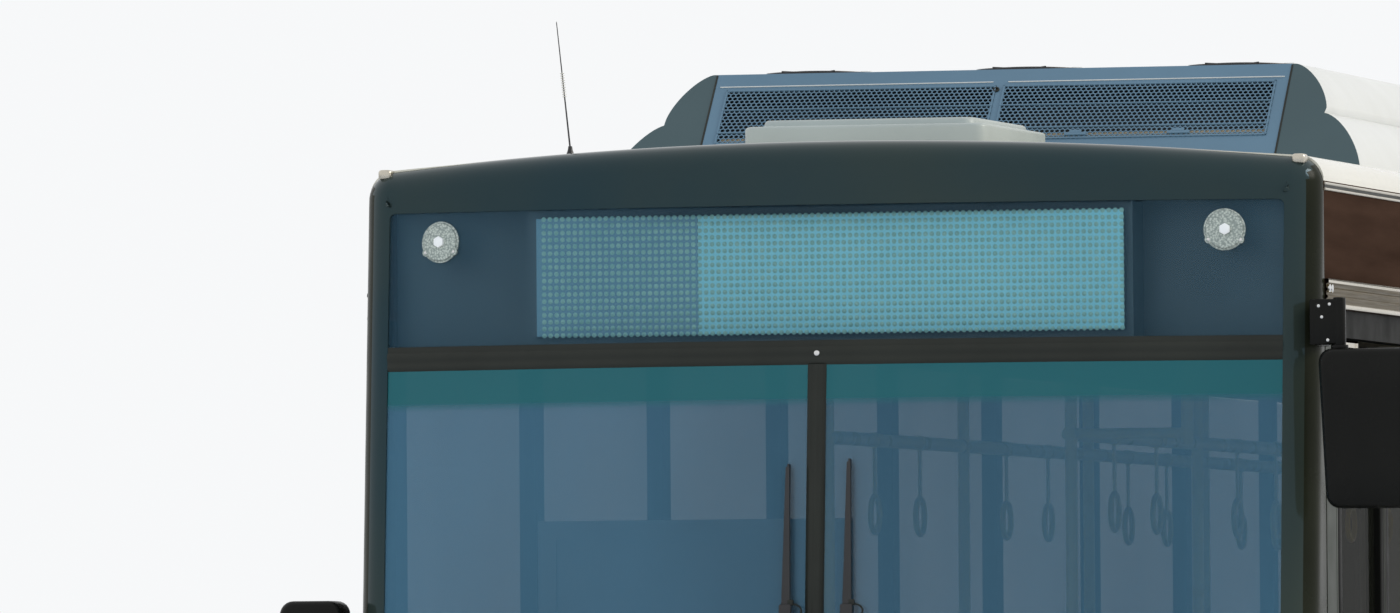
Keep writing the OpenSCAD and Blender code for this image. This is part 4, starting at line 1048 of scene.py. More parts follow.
def makeUnitTrim():
    look = unitSettings
    ledgeLow, ledgeHigh = look["ledge"]
    seams, lines, ribs, ledges, clips, bolts = [], [], [], [], [], []
    for side in (-1, 1):
        # dark joint between the flat face and the moulded cheek
        edge = side * look["faceHalf"]
        seams.append(((edge - 0.0025, -0.0012, 0.012), (edge + 0.0025, 0.004, faceLength - 0.004)))
        x0, x1 = sorted((side * 0.02, side * 0.775))
        lines.append(((x0, -0.0025, faceLength - 0.0500), (x1, 0.001, faceLength - 0.0475)))
        x0, x1 = sorted((side * grilleInner, side * grilleOuter))
        ribs += [((x0, -0.004, z - 0.002), (x1, 0.001, z + 0.002)) for z in look["ribs"]]
        ledges.append(((x0 + 0.008, 0.014, ledgeLow), (x1 - 0.008, 0.020, ledgeHigh)))
        for i in range(look["bolts"]):
            y = look["footY"] + 0.22 + i * look["boltPitch"]
            bolts.append(rod("bolt", (side * 0.930, y, 3.050), (side * 0.9345, y, 3.058), 0.009, 12))
    for x in look["clips"]:
        clips += [((x - 0.030, -0.006, 0.118), (x + 0.030, -0.002, 0.128)),
                  ((x - 0.016, -0.0065, 0.126), (x + 0.016, -0.002, 0.136))]
    dress(faceBoxes("unit_seams", seams), "trimRubber")
    # the ledge behind the lowest grille rows is tan, painted sunlight through the grille; ribs and clips
    # take the front's painted-shade blue-grey
    for name, spans, edge, finish in (("unit_pale_line", lines, 0.0006, "unitPale"),
                                      ("unit_ribs", ribs, 0.001, "unitFrontPaintedShade"),
                                      ("unit_ledge_painted_sunlight", ledges, 0.002, "ledgePaintedSunlight"),
                                      ("unit_clips", clips, 0.001, "unitFrontPaintedShade")):
        dress(rounded(faceBoxes(name, spans), edge, 2), finish)
    sensorZ = faceLength - 0.078
    hole = rod("hole", (0, -0.0035, sensorZ), (0, 0.002, sensorZ), 0.0085)
    chooseFaces(hole, lambda centre, normal: normal.y < -0.9)
    bpy.ops.mesh.inset(thickness=0.003)
    bpy.ops.mesh.extrude_region_move(TRANSFORM_OT_translate={"value": (0, 0.003, 0)})
    stopEdit()
    finished("unit_sensor", [hole], "trimRubber", place=facePlace @ shift(-0.008, 0, 0))
    finished("unit_bolts", bolts, "brightSteel")


makeUnitTrim()


fanSettings = {
    "pitch": 0.585,
    "y": -3.702,
    "radius": 0.149,
    "rings": 5,
    "spokes": 6,
    "blades": 7,
    "bladeTurn": 9,
}


def makeFans():
    look, r, y, top = fanSettings, fanSettings["radius"], fanSettings["y"], unitHigh.z
    upward = (0, 0, 1)
    guards, blades, lugs = [], [], []
    for i in (-1, 0, 1):
        x = i * look["pitch"]
        guards.append(spun("shroud", [(0.0, r - 0.012), (0.0, r), (0.012, r - 0.002), (0.013, r - 0.010)],
                           (x, y, top - 0.0005), upward))
        for k in range(look["rings"]):
            share = (k + 1) / look["rings"]
            place = (x, y, top + 0.0178 - 0.006 * share ** 2)
            guards.append(torus("ring", (r - 0.008) * share, 0.0016, 48, 6, place))
        for a in range(look["spokes"]):
            spoke = box("spoke", (0.02, -0.002, -0.0015), (r - 0.004, 0.002, 0.0015))
            turn = turned("Z", a * math.tau / look["spokes"])
            guards.append(moved(spoke, shift(x, y, top + 0.0145) @ turn))
        guards.append(spun("hub", [(0.0, 0.0001), (0.0, 0.036), (0.012, 0.034), (0.0175, 0.022),
                                   (0.0185, 0.0001)], (x, y, top), upward, 24))
        for b in range(look["blades"]):
            blade = box("blade", (0.030, -0.026, -0.001), (r - 0.018, 0.026, 0.001))
            turn = turned("Z", b * math.tau / look["blades"]) @ turned("X", math.radians(look["bladeTurn"]))
            blades.append(moved(blade, shift(x, y, top + 0.006) @ turn))
        for side in (-1, 1):
            lugX = x + side * (r - 0.018)
            lug = box("lug", (lugX - 0.016, y - 0.014, top - 0.0005),
                      (lugX + 0.016, y + 0.014, top + 0.017))
            lugs.append(rounded(lug, 0.004, 2))
    guard = finished("fan_guards", guards, "grilleBlack", 40, slotName="grille_metal")
    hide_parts("unit_fans")
    dress(join("fan_blades", blades), "trimRubber")
    finished("fan_lugs", lugs, "unitPale")


makeFans()
print("stage: grilles and fans")


# Roof hatches: a lower tier with rounded corners and a raised pan

hatchSettings = {
    "corner": 0.035,
    "lip": 3.091,
    # (inset, rise) steps: rolled edge, flange, wall of the pan, its rolled edge, sunk field
    "steps": ((0.0012, 0.0045), (0.0033, 0.0033), (0.0045, 0.0012), (0.031, 0.0), (0.002, 0.009),
              (0.002, 0.005), (0.004, 0.003), (0.050, 0.0), (0.006, -0.004)),
    "edgeSteps": 3,
    "seal": 0.022,
    "hingeX": (-0.2, 0.2),
}


def makeHatch(name, node):
    look, lap = hatchSettings, hatchSettings["seal"]
    low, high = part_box(node)
    rise = sum(lift for inset, lift in look["steps"][:look["edgeSteps"]])
    lid = cornered(name, low, (high.x, high.y, look["lip"] - rise), 2, look["corner"], 6)
    chooseFaces(lid, lambda centre, normal: normal.z > 0.9)
    halfX, halfY = (high.x - low.x) / 2, (high.y - low.y) / 2
    for inset, lift in look["steps"]:
        bpy.ops.mesh.extrude_region_move(TRANSFORM_OT_translate={"value": (0, 0, lift)})
        share = ((halfX - inset) / halfX, (halfY - inset) / halfY, 1)
        bpy.ops.transform.resize(value=share, center_override=(low + high) / 2)
        halfX, halfY = halfX - inset, halfY - inset
    stopEdit()
    dress(smooth(lid, 50), "hatchGrey", body=node, slotName="hatch_plastic")
    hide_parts(node)
    seal = box(name + "_seal", (low.x + lap, low.y + lap, low.z - 0.0035),
               (high.x - lap, high.y - lap, low.z + 0.002))
    dress(rounded(seal, 0.002, 2), "trimRubber", body=node)
    y, z = low.y + 0.004, low.z + 0.010
    knuckles = [rod("knuckle", (x - 0.035, y, z), (x + 0.035, y, z), 0.008, 16) for x in look["hingeX"]]
    finished(name + "_hinges", knuckles, "trimRubber", body=node)


makeHatch("hatch_front_lid", "front_hatch")
makeHatch("hatch_rear_lid", "rear_hatch")


# Whip antenna with a loading coil

antennaSettings = {
    "x": -0.770,
    "y": -5.580,
    "lean": 6.0,
    "length": 0.330,
    "coil": (0.135, 0.195),
    "turns": 11,
}


def makeAntenna():
    look, length = antennaSettings, antennaSettings["length"]
    x, y, footZ = look["x"], look["y"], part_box("antenna")[0].z
    start, end = look["coil"]
    base = spun("foot", [(0.0, 0.0005), (0.0, 0.0158), (0.010, 0.0155), (0.020, 0.010), (0.030, 0.0065),
                         (0.040, 0.005), (0.041, 0.0005)], (x, y, footZ), (0, 0, 1), 24)
    place = shift(x, y, footZ + 0.034) @ turned("Y", math.radians(-look["lean"]))
    whip = spun("whip", [(0.0, 0.0003), (0.0, 0.0024), (start, 0.0019), (length - 0.004, 0.0012),
                         (length, 0.0003)], (0, 0, 0), (0, 0, 1), 12)
    mast = finished("antenna_whip", [base, moved(whip, place)], "wiperBlack", slotName="rubber_trim")
    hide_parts("antenna")
    heights = [between(start, end, i / (look["turns"] - 1)) for i in range(look["turns"])]
    coil = [torus("turn", 0.0042, 0.0014, 16, 6, (0, 0, z)) for z in heights]
    finished("antenna_coil", coil, "brightSteel", place=place)


makeAntenna()


# Wipers: tapered blade in its spring holder, arm, clip and washer pipe

wiperSettings = {
    "right": {"x": 0.090, "tip": 1.180},
    "left": {"x": -0.068, "tip": 1.168},
    "bladeFoot": 0.160,
    "armTop": 0.800,
    "armFoot": -0.060,
    "out": 0.020,
    "pipe": 0.0026,
    "bendSteps": 7,
}


def makeWiper(label):
    look, tip = wiperSettings, wiperSettings[label]["tip"]
    foot, armFoot, armTop, face = look["bladeFoot"], look["armFoot"], look["armTop"], -look["out"]
    place = frontPlace(look[label]["x"], frontForm["foot"])
    rubber = box("rubber", (-0.0022, -0.014, foot), (0.0022, 0.0036, tip))
    # holder that widens from the tip down to the clip
    holder = box("holder", (-0.0075, -0.0205, foot + 0.01), (0.0075, -0.012, tip - 0.008))
    editAll(holder)
    bpy.ops.mesh.subdivide(number_cuts=15)
    stopEdit()
    middle, half = (foot + tip) / 2, (tip - foot) / 2
    for vertex in holder.data.vertices:
        reach = max(0.0, 1 - abs(vertex.co.z - middle) / half)
        vertex.co.x *= 0.62 + 1.25 * reach
        vertex.co.y -= 0.006 * reach if vertex.co.y < -0.016 else 0.0
    blade = finished("wiper_blade_" + label, [rubber, rounded(holder, 0.0015, 2)], "wiperBlack",
                     place=place, slotName="rubber_trim")
    arm = box("arm", (-0.009, face - 0.013, armFoot + 0.12), (0.009, face - 0.003, armTop))
    chooseFaces(arm, lambda centre, normal: normal.y < -0.9)
    bpy.ops.mesh.inset(thickness=0.003, depth=-0.002)
    stopEdit()
    head = box("head", (-0.015, face - 0.0125, armFoot - 0.02), (0.015, face + 0.004, armFoot + 0.14))
    cap = rod("cap", (0, 0.012, armFoot), (0, face - 0.012, armFoot), 0.019)
    clip = box("clip", (-0.016, face - 0.0135, armTop - 0.045), (0.016, face + 0.006, armTop + 0.012))
    arms = [rounded(arm, 0.0012, 2), rounded(head, 0.006), rounded(cap, 0.004), rounded(clip, 0.004)]
    finished("wiper_arm_" + label, arms, "wiperBlack", place=place, slotName="rubber_trim")
    # stiff washer pipe along the arm with its jet
    pipe = [rod("pipe", (0.013, -0.020, armFoot + 0.10), (0.013, -0.020, armTop - 0.02), look["pipe"], 10)]
    bend = []
    for i in range(look["bendSteps"] + 1):
        a = math.pi * (0.5 - i / look["bendSteps"])
        bend.append(Vector((0.015 + 0.026 * math.cos(a), -0.020, armTop - 0.005 + 0.018 * math.sin(a))))
    pipe += [rod("pipe", start, end, look["pipe"], 10) for start, end in zip(bend, bend[1:])]
    jet = box("jet", (0.004, -0.026, armTop + 0.008), (0.020, -0.016, armTop + 0.024))
    finished("washer_pipe_" + label, pipe + [rounded(jet, 0.003, 2)], "trimRubber", place=place)
    return blade


rightBlade = makeWiper("right")
makeWiper("left")
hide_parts("wipers")
print("stage: hatches, antenna and wipers")


# Aluminium rails at the cantrail, drawn as one ribbed section, and the gutter lines above

railLow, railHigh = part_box("side_rails")
railSettings = {
    # (how far it stands out, share of the height), from the lower edge up
    "section": [(0.0, 0.0), (0.0100, 0.0), (0.0115, 0.04), (0.0115, 0.14), (0.0045, 0.18), (0.0045, 0.30),
                (0.0085, 0.34), (0.0085, 0.40), (0.0045, 0.44), (0.0045, 0.56), (0.0085, 0.60),
                (0.0085, 0.66), (0.0045, 0.70), (0.0045, 0.82), (0.0115, 0.86), (0.0115, 0.95),
                (0.0100, 1.0), (0.0, 1.0)],
    "goldShare": (0.16, 0.84),
    "gutters": (2.8985, 2.9125),
    "gutterRadius": 0.0035,
    "plugs": (-5.752, -5.722),
    "plugZ": 2.648,
}


def makeRail():
    section = railSettings["section"]
    steps = len(section) - 1

    def place(u, v):
        out, share = section[round(v * steps)]
        y, z = between(railLow.y, railHigh.y, u), between(railLow.z, railHigh.z, share)
        return Vector((halfWidth + out, y, z))

    rail = gridSheet("rail", 10, steps, place)
    editAll(rail)
    bpy.ops.mesh.region_to_loop()
    bpy.ops.mesh.edge_face_add()
    stopEdit()
    return fixNormals(rail)


def makeSideTrim():
    look = railSettings
    rails = finished("side_rails_ribbed", [bothSides(makeRail())], "aluminium", 25,
                     slotName="bare_aluminium")
    rails.data.materials.append(finishes["railGold"])
    low, high = (between(railLow.z, railHigh.z, share) for share in look["goldShare"])
    for face in rails.data.polygons:
        if low < face.center.z < high:
            face.material_index = 1
    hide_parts("side_rails")
    front, back = maskBackY + 0.004, rearY - 0.085
    x, (low, high) = halfWidth + 0.001, look["gutters"]
    lines = [rod("gutter", (x, front, z), (x, back, z), look["gutterRadius"], 12) for z in (high, low)]
    finished("gutter_lines", [bothSides(join("gutter", lines))], "aluminium")
    joint = box("gutter_joint", (halfWidth - 0.002, front, low), (halfWidth + 0.002, back, high))
    dress(bothSides(rounded(joint, 0.0008, 2)), "trimRubber")
    x, z = halfWidth + 0.004, look["plugZ"]
    plugs = [rounded(rod("plug", (x, y, z), (x + 0.0078, y, z), 0.011, 20), 0.002, 2)
             for y in look["plugs"]]
    finished("rail_plugs", [bothSides(join("plug", plugs))], "brightSteel")


makeSideTrim()
print("stage: side rails")


# Outside mirrors: rounded heads that look back, the left one hung from a tube, the right one low on
# its bracket

mirrorSettings = {
    "left": {"wide": 0.250, "foot": 2.090, "bracket": 2.500},
    "right": {"wide": 0.165, "foot": 1.482, "bracket": 1.600},
    "gap": 0.025,
    "front": -6.000,
    "deep": 0.110,
    "high": 0.400,
    "round": 0.036,
    "crown": ((0.006, 0.985), (0.008, 0.96), (0.006, 0.92), (0.004, 0.84), (0.002, 0.70)),
    "taper": 0.020,
    "tubeX": 1.322,
    "tubeY": -5.930,
    "tubeRadius": 0.016,
    "bracketHigh": 0.115,
    "bracketHalf": 0.015,
    "plate": 0.0135,
    "screws": ((0.022, 0.098), (0.050, 0.102), (0.030, 0.070), (0.045, 0.012)),
}


def mirrorShell(low, high):
    look = mirrorSettings
    crown, centre = look["crown"], (Vector(low) + Vector(high)) / 2
    crownY = low[1] + sum(lift for lift, part in crown)
    shell = cornered("shell", (low[0], crownY, low[2]), high, 1, look["round"], 6)
    chooseFaces(shell, lambda middle, normal: normal.y < -0.9)
    for lift, part in crown:
        bpy.ops.mesh.extrude_region_move(TRANSFORM_OT_translate={"value": (0, -lift, 0)})
        bpy.ops.transform.resize(value=(part, 1, part), center_override=centre)
    stopEdit()
    chooseFaces(shell, lambda middle, normal: normal.y > 0.9)
    bpy.ops.mesh.inset(thickness=0.009)
    bpy.ops.mesh.inset(thickness=0.002, depth=-0.012)
    stopEdit()
    # the edge beside the bus draws in towards the foot
    for vertex in shell.data.vertices:
        down = (high[2] - vertex.co.z) / (high[2] - low[2])
        vertex.co.x += look["taper"] * down * (high[0] - vertex.co.x) / (high[0] - low[0])
    return shell


def makeMirror(label):
    look, head = mirrorSettings, mirrorSettings[label]
    x0, back, foot = halfWidth + look["gap"], look["front"] + look["deep"], head["foot"]
    x1, top = x0 + head["wide"], foot + look["high"]
    glass = cornered("mirror_glass_" + label, (x0 + 0.012, back - 0.0118, foot + 0.012),
                     (x1 - 0.012, back - 0.0085, top - 0.012), 1, look["round"] - 0.014, 5)
    x, y, radius, half = look["tubeX"], look["tubeY"], look["tubeRadius"], look["bracketHalf"]
    low, high = head["bracket"], head["bracket"] + look["bracketHigh"]
    arm = box("arm", (halfWidth + 0.004, y - half, low), (x, y + half, high))
    seat = box("seat", (halfWidth - 0.002, y - half, low),
               (halfWidth + look["plate"], maskBackY - 0.006, high))
    pieces = [mirrorShell((x0, look["front"], foot), (x1, back, top)), rounded(arm, 0.006),
              rounded(seat, 0.004)]
    if high > top:
        tube = rod("tube", (x, y, top - 0.02), (x, y, high + 0.004), radius, 32)
        collar = rod("collar", (x, y, top - 0.002), (x, y, top + 0.010), radius + 0.006, 32)
        pieces += [rounded(tube, 0.003, 2), rounded(collar, 0.002, 2)]
    mirror = join("mirror_head_" + label, pieces)
    screws = join("mirror_screws_" + label, [
        screwHead(shift(halfWidth + across, y - half, low + up), 0.0042, 0.0022)
        for across, up in look["screws"]])
    if label == "right":
        for piece in (mirror, glass, screws):
            acrossBus(piece)
    dress(smooth(mirror, 40), "mirrorBlack", slotName="black_frame")
    dress(smooth(glass, 30), "mirrorGlass")
    dress(smooth(screws), "brightSteel")
    return mirror


leftMirror = makeMirror("left")
makeMirror("right")
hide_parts("mirrors")
print("stage: mirrors")


# Door leaves: an extruded frame round its pane, with a rubber nosing at the meeting edge

doorSettings = {
    "stile": 0.050,
    "pane": 0.008,
    "paneLap": 0.006,
    "corner": 0.030,
    "nosing": 0.012,
    "pinRadius": 0.008,
    "pinIn": 0.018,
    "clear": 0.017,
}


def makeDoorLeaf(letter):
    look, node, meetsBehind = doorSettings, "door_leaf_" + letter, letter in "ac"
    low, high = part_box(node)
    postLow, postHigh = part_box("door_post_" + letter)
    # pins stand at the far ends of the post's arms
    pinY = postHigh.y - look["pinIn"] if meetsBehind else postLow.y + look["pinIn"]
    z0, z1, x = low.z + look["clear"], high.z - look["clear"], (low.x + high.x) / 2
    stile, thick, lap = look["stile"], look["pane"] / 2, look["stile"] - look["paneLap"]
    leaf = box("leaf", (low.x, low.y, z0), (high.x, high.y, z1))
    opening = cornered("opening", (low.x - 0.02, low.y + stile, z0 + stile),
                       (high.x + 0.02, high.y - stile, z1 - stile), 0, look["corner"], 5)
    pieces = [rounded(cutBy(leaf, opening), 0.004, 2, 40)]
    for start, end in ((low.z, z0 + 0.002), (z1 - 0.002, high.z)):
        pieces.append(rod("pin", (x, pinY, start), (x, pinY, end), look["pinRadius"]))
    leaf = finished(node + "_frame", pieces, "blackFrame", 30, body=node, slotName="black_frame")
    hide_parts(node)
    pane = box(node + "_pane", (x - thick, low.y + lap, z0 + lap), (x + thick, high.y - lap, z1 - lap))
    dress(rounded(pane, 0.001, 1), "doorGlass", body=node, slotName="tinted_glass")
    y0, y1 = (high.y - look["nosing"], high.y) if meetsBehind else (low.y, low.y + look["nosing"])
    nosing = box(node + "_nosing", (low.x - 0.0015, y0, z0 + 0.01), (high.x + 0.0015, y1, z1 - 0.01))
    dress(smooth(rounded(nosing, 0.005)), "trimRubber", body=node)


for letter in "abcd":
    makeDoorLeaf(letter)
print("stage: door leaves")


# Wheels: tyres with blocks of tread, pressed rims with hand holes and nuts

wheelSettings = {
    "radius": 0.4774,
    "tyreWide": 0.276,
    "bead": 0.2865,
    "treadDepth": 0.009,
    "ribs": (-0.087, -0.029, 0.029, 0.087),
    "ribWide": 0.047,
    "blocks": 44,
    "blockLong": 0.052,
    "skew": 14,
    "rim": 0.2855,
    "rimHalf": 0.119,
    "boreRadius": 0.0335,
    "holes": 10,
    "nuts": 10,
    "nutCircle": 0.150,
}
axle = {"axisPoint": (0, 0, 0), "axis": (1, 0, 0)}


def makeTyreMaster():
    look = wheelSettings
    crown, bead, half = look["radius"] - look["treadDepth"], look["bead"], look["tyreWide"] / 2
    side = [(half - 0.050, crown), (half - 0.030, crown - 0.004), (half - 0.012, crown - 0.022),
            (half - 0.002, crown - 0.055), (half, bead + 0.090), (half - 0.004, bead + 0.050),
            (half - 0.012, bead + 0.012), (half - 0.031, bead)]
    outline = side + [(-along, radius) for along, radius in reversed(side)]
    blocks = [spun("carcass", outline, **axle, steps=72)]
    x, y = look["ribWide"] / 2, look["blockLong"] / 2
    block = rounded(box("block", (-x, -y, crown - 0.003), (x, y, look["radius"])), 0.002, 1)
    for i in range(look["blocks"]):
        for k, ribX in enumerate(look["ribs"]):
            # the outer rows stand half a block on, and each row slants against the next
            turn = (i + 0.5 * (k in (0, 3))) * math.tau / look["blocks"]
            skew = math.radians(look["skew"] if k % 2 else -look["skew"])
            place = turned("X", turn) @ shift(ribX, 0, 0) @ turned("Z", skew)
            blocks.append(copyOf(block, "block", place))
    bpy.data.objects.remove(block)
    return smooth(join("tyre_master", blocks), 30)


def aroundAxle(name, piece, count):
    return join(name, [piece] + [copyOf(piece, name, turned("X", i * math.tau / count))
                                 for i in range(1, count)])


def makeRimMaster():
    # its disc stands out on the +X side
    look = wheelSettings
    rim, half, bore, nutZ = look["rim"], look["rimHalf"], look["boreRadius"], look["nutCircle"]
    side = [(half - 0.019, rim - 0.014), (half, rim - 0.013), (half, rim + 0.0005),
            (half - 0.007, rim + 0.0005), (half - 0.012, rim - 0.004)]
    inner = [(-along, radius) for along, radius in side]
    wellOut = [(-0.085, rim - 0.034), (0.085, rim - 0.034)]
    wellIn = [(0.075, rim - 0.020), (-0.075, rim - 0.020)]
    well = spun("well", [inner[1], inner[0]] + wellOut + side + wellIn + inner[:1:-1], **axle, steps=72)
    dish = spun("dish", [(0.010, 0.252), (0.030, 0.230), (0.043, 0.190), (0.0435, 0.150), (0.0435, bore),
                         (0.0305, bore), (0.0305, 0.145), (0.028, 0.185), (0.016, 0.222), (0.000, 0.251)],
                **axle, steps=72)
    hole = rod("hole", (-0.02, 0, 0.214), (0.07, 0, 0.214), 0.021, 20)
    cutBy(dish, aroundAxle("holes", hole, look["holes"]))
    hub = spun("hub", [(0.040, bore), (0.040, 0.100), (0.072, 0.098), (0.082, 0.080), (0.086, 0.060),
                       (0.098, 0.055), (0.0985, bore)], **axle)
    nut = rounded(rod("nut", (0.043, 0, nutZ), (0.063, 0, nutZ), 0.0145, 6), 0.0015, 2)
    stud = rod("stud", (0.060, 0, nutZ), (0.072, 0, nutZ), 0.009, 12)
    nuts = aroundAxle("nuts", join("nut", [nut, stud]), look["nuts"])
    return smooth(join("rim_master", [well, dish, hub, nuts]), 30)


tyreMaster = makeTyreMaster()
rimMaster = makeRimMaster()


def placeWheel(name, centre, outward, body):
    # outward is the side that the rim's disc faces
    place = Matrix.Translation(centre) @ turned("Z", 0.0 if outward > 0 else math.pi)
    tyre = dress(copyOf(tyreMaster, "tyre_" + name, place), "tyreRubber", body=body, slotName="tyre_rubber")
    rim = dress(copyOf(rimMaster, "rim_" + name, place), "wheelSilver", body=body, slotName="rim_paint")
    return tyre, rim


for side in (1, -1):
    label = sideName(side)
    low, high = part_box("front_tyre_" + label)
    tyre, rim = placeWheel("front_" + label, (low + high) / 2, side, "front_wheel_" + label)
    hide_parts("front_tyre_" + label)
    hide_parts("front_rim_" + label)
    low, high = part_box("rear_tyres_" + label)
    centre, apart = (low + high) / 2, Vector((high.x - low.x - wheelSettings["tyreWide"], 0, 0)) * side / 2
    tyre, rim = placeWheel("rear_outer_" + label, centre + apart, -side, "rear_wheels_" + label)
    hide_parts("rear_tyres_" + label)
    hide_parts("rear_rims_" + label)
    placeWheel("rear_inner_" + label, centre - apart, side, "rear_wheels_" + label)
bpy.data.objects.remove(tyreMaster)
bpy.data.objects.remove(rimMaster)
print("stage: wheels")


# Seats: moulded shells on pedestals with covered pads, modelled once and copied to each place

seatSettings = {
    # y of each double seat, by side (1 left, -1 right) and floor height
    "rows": ((-1, 0.360, (-2.650, -1.870, -1.090, -0.310, 0.470)), (1, 0.360, (-2.650, -0.310, 0.470)),
             (-1, 0.820, (3.480, 4.120, 4.760, 5.400)), (1, 0.820, (3.480, 4.120, 4.760, 5.400))),
    "rowX": 0.750,
    "placeX": 0.200,
    "driver": (-0.640, -5.050, 0.360),
    "driverWide": 0.440,
    "wide": 0.800,
    "deep": 0.440,
    "high": 0.430,
    "shell": 0.025,
    "backHigh": 0.570,
    "lean": 8.0,
    "padWide": 0.380,
    "padDeep": 0.345,
    "padThick": 0.045,
    "backPadLow": 0.060,
    "backPadHigh": 0.555,
    "voxel": 0.006,
    "pressure": 4.0,
    "frames": 20,
    "cap": 0.009,
    "keep": 0.16,
    "fit": 0.0005,
    "swell": 0.006,
    "seams": (-0.36, 0.36),
    "handle": 0.055,
    "handleWire": 0.0095,
}


def puffed(pad, pinned):
    # the cover swells under a little air, and points that rest on the shell stay
    look = seatSettings
    modify(pad, "REMESH", mode="VOXEL", voxel_size=look["voxel"])
    held = pad.vertex_groups.new(name="rests")
    held.add([v.index for v in pad.data.vertices if pinned(v.co)], 1.0, "REPLACE")
    start = [v.co.copy() for v in pad.data.vertices]
    cloth = pad.modifiers.new("Cloth", "CLOTH")
    cloth.settings.use_pressure = True
    cloth.settings.uniform_pressure_force = look["pressure"]
    cloth.settings.vertex_group_mass = "rests"
    cloth.settings.effector_weights.gravity = 0
    cloth.collision_settings.use_collision = False
    cloth.point_cache.frame_start, cloth.point_cache.frame_end = 1, look["frames"]
    for step in range(1, look["frames"] + 1):
        bpy.context.scene.frame_set(step)
    pick(pad)
    bpy.ops.object.modifier_apply(modifier=cloth.name)
    for vertex, before in zip(pad.data.vertices, start):
        move = vertex.co - before
        if move.length > look["cap"]:
            vertex.co = before + move.normalized() * look["cap"]
    bpy.context.scene.frame_set(1)
    pad.vertex_groups.clear()
    return pad


def crowned(pad, half, rise, upAxis):
    # the middle stands higher than the edges, and the sides pull in between the corners
    axes = [a for a in range(3) if a != upAxis]
    for vertex in pad.data.vertices:
        a, b = (vertex.co[axis] / half[axis] for axis in axes)
        swell = max(0.0, 1 - a * a) * max(0.0, 1 - b * b)
        if vertex.co[upAxis] > 0:
            vertex.co[upAxis] += rise * math.sqrt(swell)
        for axis, other in ((axes[0], b), (axes[1], a)):
            vertex.co[axis] *= 1 - 0.012 * max(0.0, 1 - other * other)
    return pad


def makePadMaster(name, half, upAxis):
    # centred on the origin, its seat side facing the positive end of upAxis
    look = seatSettings
    pad = puffed(rounded(box(name, [-h for h in half], half), 0.014),
                 lambda co: co[upAxis] < -half[upAxis] + 0.004)
    crowned(pad, half, look["swell"], upAxis)
    # two sewn channels run across the pad
    groove = [a for a in range(3) if a not in (0, upAxis)][0]
    for vertex in pad.data.vertices:
        if vertex.co[upAxis] > 0:
            for seam in look["seams"]:
                near = abs(vertex.co[groove] / half[groove] - seam)
                vertex.co[upAxis] -= 0.005 * math.exp(-(near / 0.035) ** 2)
    return smooth(modify(pad, "DECIMATE", ratio=look["keep"]), 180)


def leaningBack():
    # the place of the back's lower front edge on the tray
    look = seatSettings
    lean = turned("X", -math.radians(look["lean"]))
    return shift(0, look["deep"] - look["shell"] - 0.006, look["high"]) @ lean


def makeShellMaster(name, wide):
    # tray, curved back with rounded shoulders, pedestal with its foot plate and bolts, front edge at y = 0
    look = seatSettings
    high, shell, foot = look["high"], look["shell"], look["high"] - look["shell"]
    halves = [(-wide / 2, wide / 2)] if wide < 0.6 else [(-wide / 2, -0.004), (0.004, wide / 2)]
    pieces = []
    for x0, x1 in halves:
        tray = cornered("tray", (x0, 0, foot), (x1, look["deep"], high), 2, 0.045, 5,
                        lambda middle: middle.y < 0.1)
        back = cornered("back", (x0 + 0.006, 0, -0.005), (x1 - 0.006, shell, look["backHigh"]), 1, 0.065, 6,
                        lambda middle: middle.z > 0.3)
        pieces += [rounded(tray, 0.008), moved(rounded(back, 0.008), leaningBack())]
    stem = box("stem", (-0.060, 0.120, 0.006), (0.060, 0.300, foot + 0.001))
    plate = box("plate", (-0.095, 0.085, 0.0), (0.095, 0.335, 0.008))
    pieces += [rounded(stem, 0.014), rounded(plate, 0.003, 2)]
    for x in (-0.078, 0.078):
        for y in (0.102, 0.318):
            pieces.append(rounded(rod("bolt", (x, y, 0.007), (x, y, 0.016), 0.009, 6), 0.0015, 1))
    beam = box("beam", (-wide / 2 + 0.05, 0.150, foot - 0.030), (wide / 2 - 0.05, 0.200, foot + 0.001))
    pieces.append(rounded(beam, 0.006, 2))
    return smooth(join(name, pieces))


def makeSeatHandle():
    # grab handle over the middle of the seat's back
    look, radius, wire = seatSettings, seatSettings["handle"], seatSettings["handleWire"]
    ring = torus("ring", radius, wire, 32, 10, turn=(math.pi / 2, 0, 0))
    editAll(ring)
    bpy.ops.mesh.bisect(plane_co=(0, 0, 0), plane_no=(0, 0, 1), clear_inner=True, use_fill=True)
    stopEdit()
    legs = [rod("leg", (x, 0, -0.11), (x, 0, 0.001), wire, 10) for x in (-radius, radius)]
    place = leaningBack() @ shift(0, look["shell"] + wire, look["backHigh"] - 0.085)
    return moved(join("seat_handle", [ring] + legs), place)


